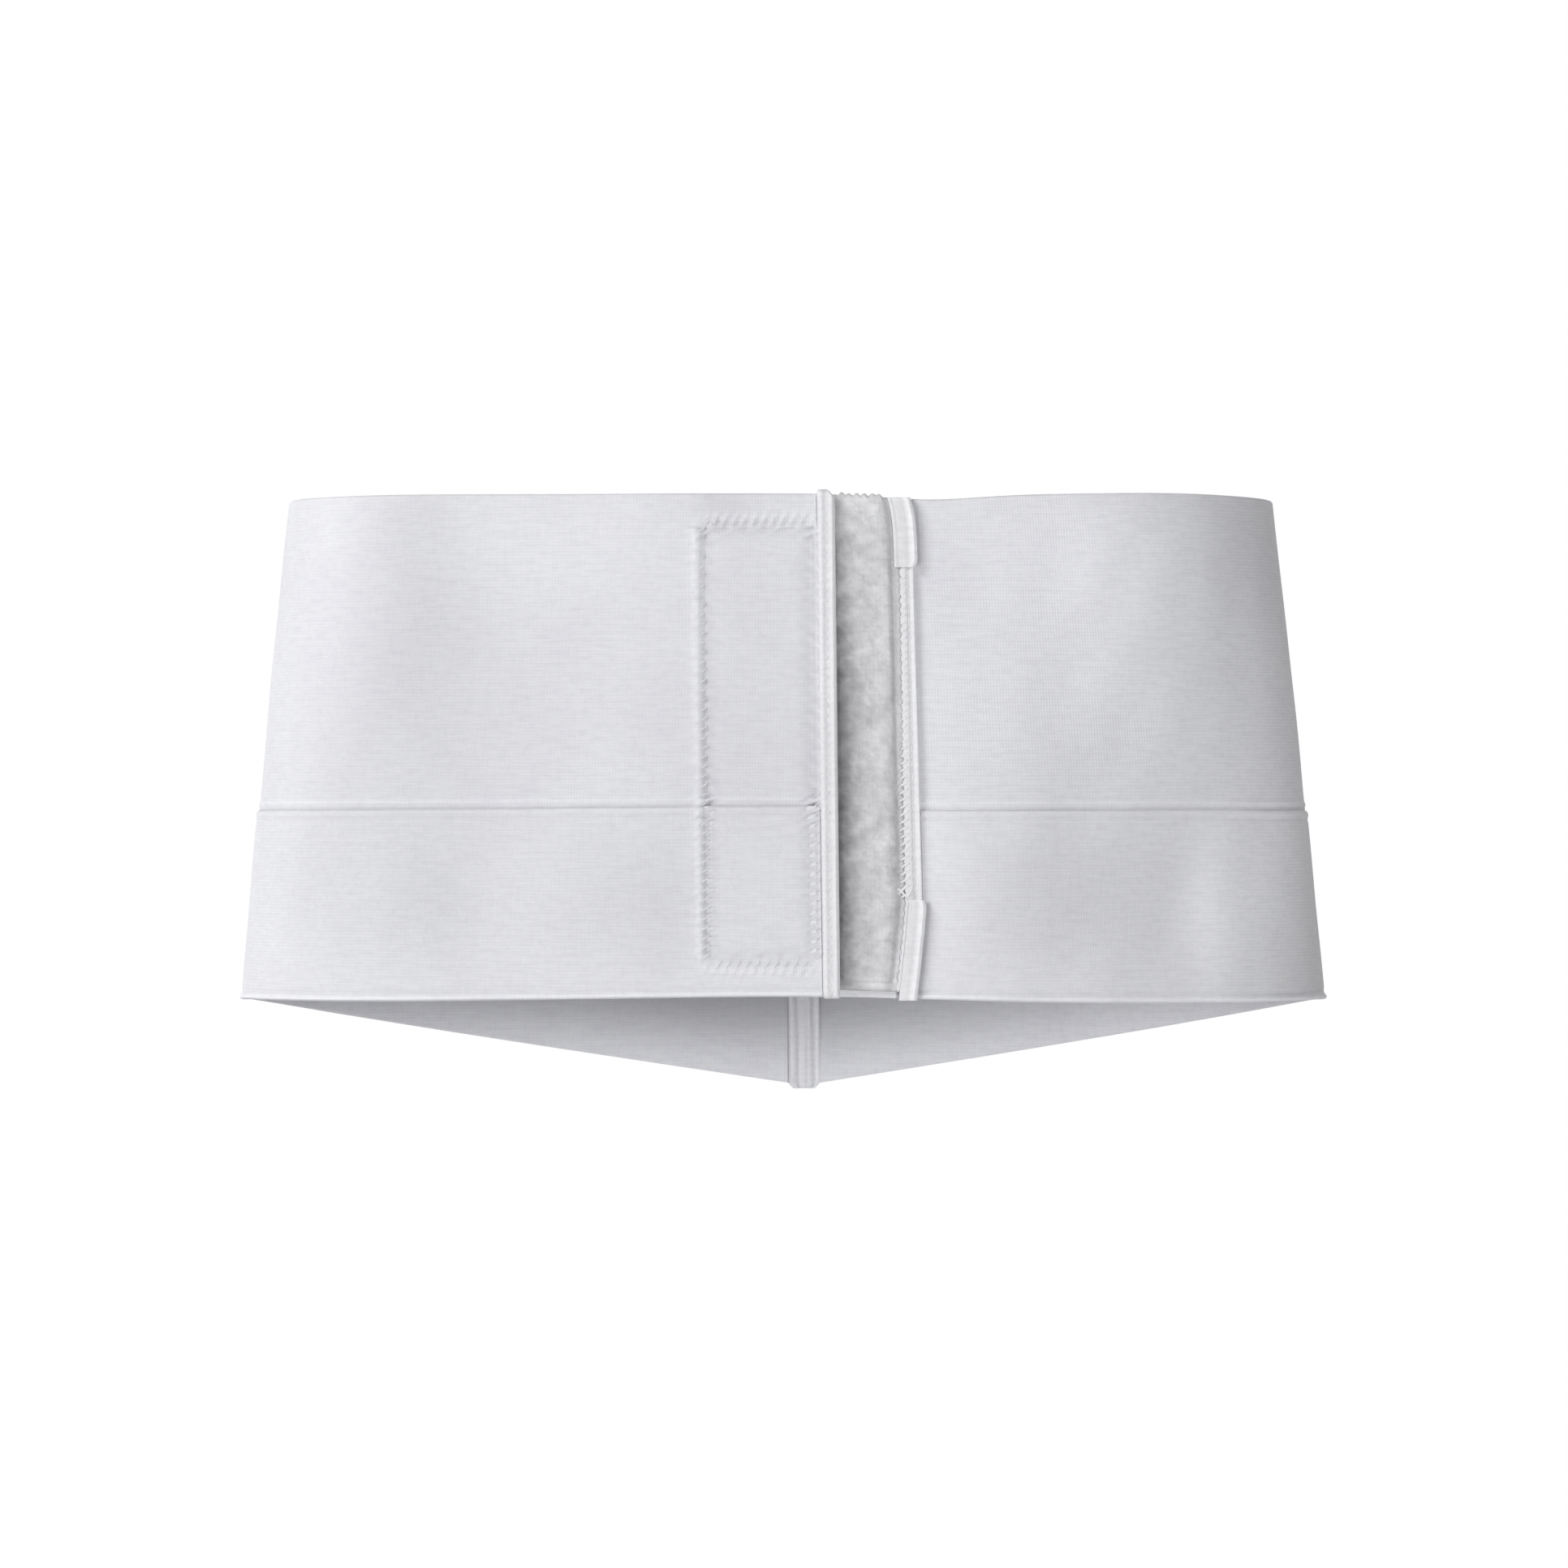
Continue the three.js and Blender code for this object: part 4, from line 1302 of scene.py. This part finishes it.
# The tape over the back seam, inside the binder.
seamTape = {
    "width": 10.3 * mm,
    "under": 1.0 * mm,
    "ridgeAt": (0.1, 0.36, 0.64, 0.9),
    "grooveAt": (0.25, 0.77),
    "groove": 0.5,
    "ridge": 0.5,
    "chamfer": 1.6 * mm,
    "lipRadius": 0.5 * mm,
}


def backSeamTape():
    # Four ridges and two grooves. The outer points run from +X to -X, since the face looks into the binder.
    width = seamTape["width"]
    shares = ladder(0, (0.03, 16), (0.98, 120), (1, 8))
    section = ladder(0, (0.06, 5), (0.5, 18), (0.94, 18), (1, 5))[None, :]
    seamBottom = bottom - outline["backDrop"] - seamTape["under"]
    levels = mix(seamBottom, top - 0.3 * mm, shares)[:, None]
    grooves = sum(bell(section - at, 0.05) for at in seamTape["grooveAt"])
    ridges = sum(bell(section - at, 0.07) for at in seamTape["ridgeAt"])
    lip = tapeLip(section, width, 0.05 * mm, seamTape["lipRadius"])
    height = (0.72 - seamTape["groove"] * grooves + seamTape["ridge"] * ridges) * mix(0.25, 1, lip)
    height = height * mix(0.4, 1, endShrink(levels, 0.7 * mm))
    cut = seamTape["chamfer"] * (1 - clamp((levels - levels[0]) / seamTape["chamfer"]))
    x = backSeam + 2 * (width / 2 - cut) * (0.5 - section)
    x, out = tapeLoop(x, -gap - walls["seamTape"] * height, -gap)
    # Painted shade in the grooves, painted light on the ridges, and a brighter painted highlight on one outer
    # ridge.
    tone = 1.05 - 0.09 * grooves + 0.04 * ridges + 0.07 * bell(section - 0.1, 0.08)
    tone = np.concatenate([tone, tone], axis=1)
    carriedStrip("backSeamTape", "back_seam_tape", x, out, levels, tone, back=True)


backSeamTape()
print("binder: back seam tape made")

# The sewing: each row's pitch, its reach across and up from its line, its thread's radius and its rise.
sewing = {
    "box": {"pitch": 3 * mm, "width": 2.6 * mm, "lean": 1.6 * mm, "radius": 0.2 * mm, "rise": 0.14 * mm},
    "binding": {"pitch": 3 * mm, "across": 0.55 * mm, "up": 0.7 * mm, "radius": 0.17 * mm, "rise": 0.1 * mm},
    "tape": {"pitch": 2.3 * mm, "up": 0.75 * mm, "radius": 0.2 * mm, "rise": 0.12 * mm},
    "overlock": {"pitch": 2.3 * mm, "radius": 0.42 * mm, "rise": 0.3 * mm},
    "backSeam": {
        "pitch": 2.6 * mm, "across": 1.7 * mm, "up": 0.6 * mm, "radius": 0.22 * mm, "rise": 0.16 * mm,
    },
    "seamTape": {"up": 0.8 * mm, "radius": 0.12 * mm, "rise": 0.08 * mm},
}
# Three long stitches cross at the lower tab's head: across and up from the tape's edge, at both ends.
crossings = np.array([(-2.9, 3.8, 0.3, 0.4), (-0.4, 0.0, 1.9, 3.0), (-2.5, 1.2, 0.6, 5.0)]) * mm


def onCloth(x, z, out, back=False):
    # The form's point at a place across and a level, with its outward direction.
    angle = angleAt(x, z, back)
    return onForm(angle, z, out), formNormal(angle, z)


def stitchRow(first, last, back=False):
    # Stitches between two lines of places, each given as across, level and height.
    starts, normals = onCloth(*first, back)
    ends, _ = onCloth(*last, back)
    return starts, ends, normals


def boxPath(count):
    # Points round the rounded rectangle, evenly spaced, with their outward directions.
    corner = stitchBox["corner"]
    left, right = stitchBox["left"] + corner, stitchBox["right"] - corner
    low, high = stitchBox["low"] + corner, stitchBox["high"] - corner
    path = []
    for quarter, (x, z) in enumerate(((right, high), (left, high), (left, low), (right, low))):
        turn = np.linspace(0, math.pi / 2, 9) + quarter * math.pi / 2
        path.append(np.stack([x + corner * np.cos(turn), z + corner * np.sin(turn)], -1))
    path = np.concatenate(path)
    path = np.concatenate([path, path[:1]])
    length = np.concatenate([[0], np.cumsum(np.linalg.norm(np.diff(path, axis=0), axis=1))])
    places = np.linspace(0, length[-1], count, endpoint=False)
    x = np.interp(places, length, path[:, 0])
    z = np.interp(places, length, path[:, 1])
    ahead = np.stack([np.roll(x, -1) - np.roll(x, 1), np.roll(z, -1) - np.roll(z, 1)], -1)
    ahead = ahead / np.linalg.norm(ahead, axis=1, keepdims=True)
    return x, z, ahead[:, 1], -ahead[:, 0]


def boxStitches():
    # Slanting stitches cross the groove, all round the rectangle's three open sides.
    sewn = sewing["box"]
    around = 2 * (stitchBox["right"] - stitchBox["left"] + stitchBox["high"] - stitchBox["low"])
    x, z, sideX, sideZ = boxPath(int(around / sewn["pitch"]))
    x, z = x - sideX * 0.4 * mm, z - sideZ * 0.4 * mm
    sideX, sideZ = np.abs(sideX), np.abs(sideZ)
    spanX = (sewn["width"] * sideX + sewn["lean"] * sideZ) / 2
    spanZ = (sewn["width"] * sideZ + sewn["lean"] * sideX) / 2
    x, z, nextX, nextZ = x - spanX, z - spanZ, x + spanX, z + spanZ
    beside = (np.minimum(x, nextX) > stitchBox["right"] - 2.4 * mm) & (z < -10 * mm)
    keep = (np.maximum(x, nextX) < stitchBox["right"] - 1.6 * mm) | beside
    side = closure["lapEdge"] - closure["bindingWidth"] + bindingTaper(z) - 0.25 * mm
    x, nextX = np.minimum(x, side), np.minimum(nextX, side)

    def onLap(x, z):
        # Places on the lapping panel or its band, with the stitched relief.
        x = slanted(x, z)
        angle = angleAt(x, z)
        return x, z, lapLift(angle, z) + outerWall(angle, z) + boxRelief(x, z, -1.0)

    row = stitchRow(onLap(x[keep], z[keep]), onLap(nextX[keep], nextZ[keep]))
    stitches("hookPatchStitches", [row], sewn["radius"], sewn["rise"])


def bindingStitches():
    # Small slanting stitches in the groove between the binding's ridges.
    sewn = sewing["binding"]
    z = np.arange(bottom + 4 * mm, top - 3 * mm, sewn["pitch"])
    x = slanted(closure["lapEdge"] - closure["bindingWidth"] * (1 - binding["grooveAt"]), z)
    out = legOut - 0.16 * mm
    row = stitchRow((x - sewn["across"], z - sewn["up"], out), (x + sewn["across"], z + sewn["up"], out))
    stitches("bindingStitches", [row], sewn["radius"], sewn["rise"])


def edgeTapeStitches():
    # A row of short stitches in the tape's groove.
    sewn = sewing["tape"]
    z = np.arange(lowerTabHead + 1 * mm, upperTabFoot - 1 * mm, sewn["pitch"])
    x = underlapLine(z) - edgeTape["margin"] - edgeTape["grooveAt"] * tapeWidth(z)
    out = edgeTapeOut - edgeTape["groove"]
    row = stitchRow((x, z - sewn["up"], out), (x, z + sewn["up"], out))
    stitches("edgeTapeStitches", [row], sewn["radius"], sewn["rise"])


def overlockStitches():
    # Slanting stitches over the tape's edge beside the pile, longer towards its foot, and three that cross.
    sewn = sewing["overlock"]
    pileSide = lambda z: underlapLine(z) - edgeTape["margin"] - tapeWidth(z)
    z = np.arange(lowerTabHead + 1 * mm, upperTabFoot - 1.4 * mm, sewn["pitch"])
    lower = smooth((10 * mm - z) / (25 * mm))
    first = (pileSide(z) - (0.6 + 1.1 * lower) * mm, z - 0.5 * mm, edgeTapeIn + 0.15 * mm)
    last = (pileSide(z) + 1.3 * mm, z + (0.7 + 0.5 * lower) * mm, edgeTapeOut)
    fromX, fromZ, toX, toZ = crossings.T
    fromZ, toZ = lowerTabHead + fromZ, lowerTabHead + toZ
    onPile = selvageOut + 0.1 * mm
    crossFirst = (pileSide(fromZ) + fromX, fromZ, np.array([onPile, edgeTapeOut, onPile]))
    crossLast = (pileSide(toZ) + toX, toZ, edgeTapeOut)
    rows = [stitchRow(first, last), stitchRow(crossFirst, crossLast)]
    stitches("overlockStitches", rows, sewn["radius"], sewn["rise"])


def backStitches():
    # Outside, cover stitches cross the back seam to and fro, and inside, two rows hold its tape.
    sewn, inside = sewing["backSeam"], sewing["seamTape"]
    z = np.arange(bottom - outline["backDrop"] + 2.4 * mm, top - 1.5 * mm, sewn["pitch"])
    out = outerWall(angleAt(backSeam, z, True), z) + 0.02 * mm
    right, left = backSeam - sewn["across"], backSeam + sewn["across"]
    rows = [
        stitchRow((right, z - sewn["up"], out), (left, z + sewn["up"], out), True),
        stitchRow((left, z + sewn["up"], out), (right, z + 2.0 * mm, out), True),
    ]
    stitches("backSeamStitches", rows, sewn["radius"], sewn["rise"])
    out = -gap - walls["seamTape"] * 0.5
    rows = []
    for share in seamTape["grooveAt"]:
        x = backSeam + seamTape["width"] * (0.5 - share)
        starts, ends, normals = stitchRow((x, z - inside["up"], out), (x, z + inside["up"], out), True)
        rows.append((starts, ends, -normals))
    stitches("seamTapeStitches", rows, inside["radius"], inside["rise"])


boxStitches()
bindingStitches()
edgeTapeStitches()
overlockStitches()
backStitches()
triangles = 0
for made in bpy.data.objects:
    if made.type == "MESH" and made.data.attributes.get("tone"):
        triangles = triangles + len(made.data.loops) - 2 * len(made.data.polygons)
print("binder: stitches made, and triangles of the new pieces in all", triangles)

# The camera stands where the photograph's did: level, straight ahead, and far enough for small depth.
view = {"distance": 3.4, "across": 0.25 * mm, "height": -10.6 * mm, "focal": 241.8, "sensor": 36.0}
camera = bpy.data.objects.new("camera", bpy.data.cameras.new("camera"))
camera.data.lens = view["focal"]
camera.data.sensor_width = view["sensor"]
camera.data.clip_end = 100
camera.location = (view["across"], -view["distance"], view["height"])
camera.rotation_euler = (math.pi / 2, 0, 0)
bpy.context.scene.collection.objects.link(camera)
bpy.context.scene.camera = camera

# The floor lies well below, out of the photograph's frame, so that the binder hangs free as it does there.
studio = {
    "floorLevel": -1.0,
    "floorRadius": 8.0,
    "floorColour": (0.68, 0.68, 0.685),
    "floorGlow": 0.62,  # seen by the camera alone
    "skyLight": 0.16,
    "sky": 1.0,
    "lights": {  # where each stands, how wide it is and its power
        "keyLight": ((-2.0, -2.0, 1.6), 1.3, 45.0),
        "fillLight": ((0.9, -2.95, 0.1), 0.4, 39.0),
        "sideLight": ((-2.9, 1.05, 0.6), 1.8, 66.0),
        "rimLight": ((0.6, 2.8, 1.4), 1.8, 30.0),
    },
}


def roundFloor():
    # A disc of rings and spokes round the origin.
    rings, spokes = 24, 96
    radii = np.linspace(0.05, studio["floorRadius"], rings)[:, None]
    turns = np.linspace(0, wholeTurn, spokes, endpoint=False)[None, :]
    x, y = radii * np.cos(turns), radii * np.sin(turns)
    points = np.stack([x, y, np.full_like(x, studio["floorLevel"])], axis=-1).reshape(-1, 3)
    place = np.arange(rings * spokes).reshape(rings, spokes)
    beside = np.roll(place, -1, axis=1)
    quads = np.stack([place[:-1], place[1:], beside[1:], beside[:-1]], axis=-1).reshape(-1, 4).tolist()
    faces = quads + [place[0].tolist()]
    material = bpy.data.materials.new("studio_floor")
    material.use_nodes = True
    tree = material.node_tree
    shader = tree.nodes["Principled BSDF"]
    shader.inputs["Roughness"].default_value = 0.9
    shader.inputs["Specular IOR Level"].default_value = 0.1
    shader.inputs["Base Color"].default_value = (*studio["floorColour"], 1)
    shader.inputs["Emission Color"].default_value = (1, 1, 1, 1)
    lit = addNode(tree, "ShaderNodeLightPath")
    glow = addNode(tree, "ShaderNodeMath", operation="MULTIPLY")
    glow.inputs[1].default_value = studio["floorGlow"]
    tree.links.new(lit.outputs["Is Camera Ray"], glow.inputs[0])
    tree.links.new(glow.outputs[0], shader.inputs["Emission Strength"])
    corners = np.zeros((sum(len(face) for face in faces), 2))
    made = makeObject("studioFloor", points, faces, corners, material)


def areaLight(name, place, size, power):
    # A round light that faces the origin.
    lamp = bpy.data.lights.new(name, "AREA")
    lamp.shape = "DISK"
    lamp.size = size
    lamp.energy = power
    made = bpy.data.objects.new(name, lamp)
    x, y, z = place
    made.location = place
    made.rotation_euler = (math.atan2(math.hypot(x, y), z), 0, math.atan2(x, -y))
    bpy.context.scene.collection.objects.link(made)


roundFloor()
for name, (place, size, power) in studio["lights"].items():
    areaLight(name, place, size, power)

# The sky: a soft light for the pieces, and a plain white backdrop for the eye.
world = bpy.data.worlds.new("studio_sky")
world.use_nodes = True
bpy.context.scene.world = world
skyTree = world.node_tree
softSky = skyTree.nodes["Background"]
softSky.inputs["Color"].default_value = (1, 1, 1, 1)
softSky.inputs["Strength"].default_value = studio["skyLight"]
plainSky = addNode(skyTree, "ShaderNodeBackground")
plainSky.inputs["Color"].default_value = (1, 1, 1, 1)
plainSky.inputs["Strength"].default_value = studio["sky"]
seen = addNode(skyTree, "ShaderNodeLightPath")
chosen = addNode(skyTree, "ShaderNodeMixShader")
skyTree.links.new(seen.outputs["Is Camera Ray"], chosen.inputs[0])
skyTree.links.new(softSky.outputs[0], chosen.inputs[1])
skyTree.links.new(plainSky.outputs[0], chosen.inputs[2])
skyTree.links.new(chosen.outputs[0], skyTree.nodes["World Output"].inputs["Surface"])
bpy.context.scene.view_settings.view_transform = "Standard"
bpy.context.scene.view_settings.look = "None"
print("binder: camera, floor and lights made")
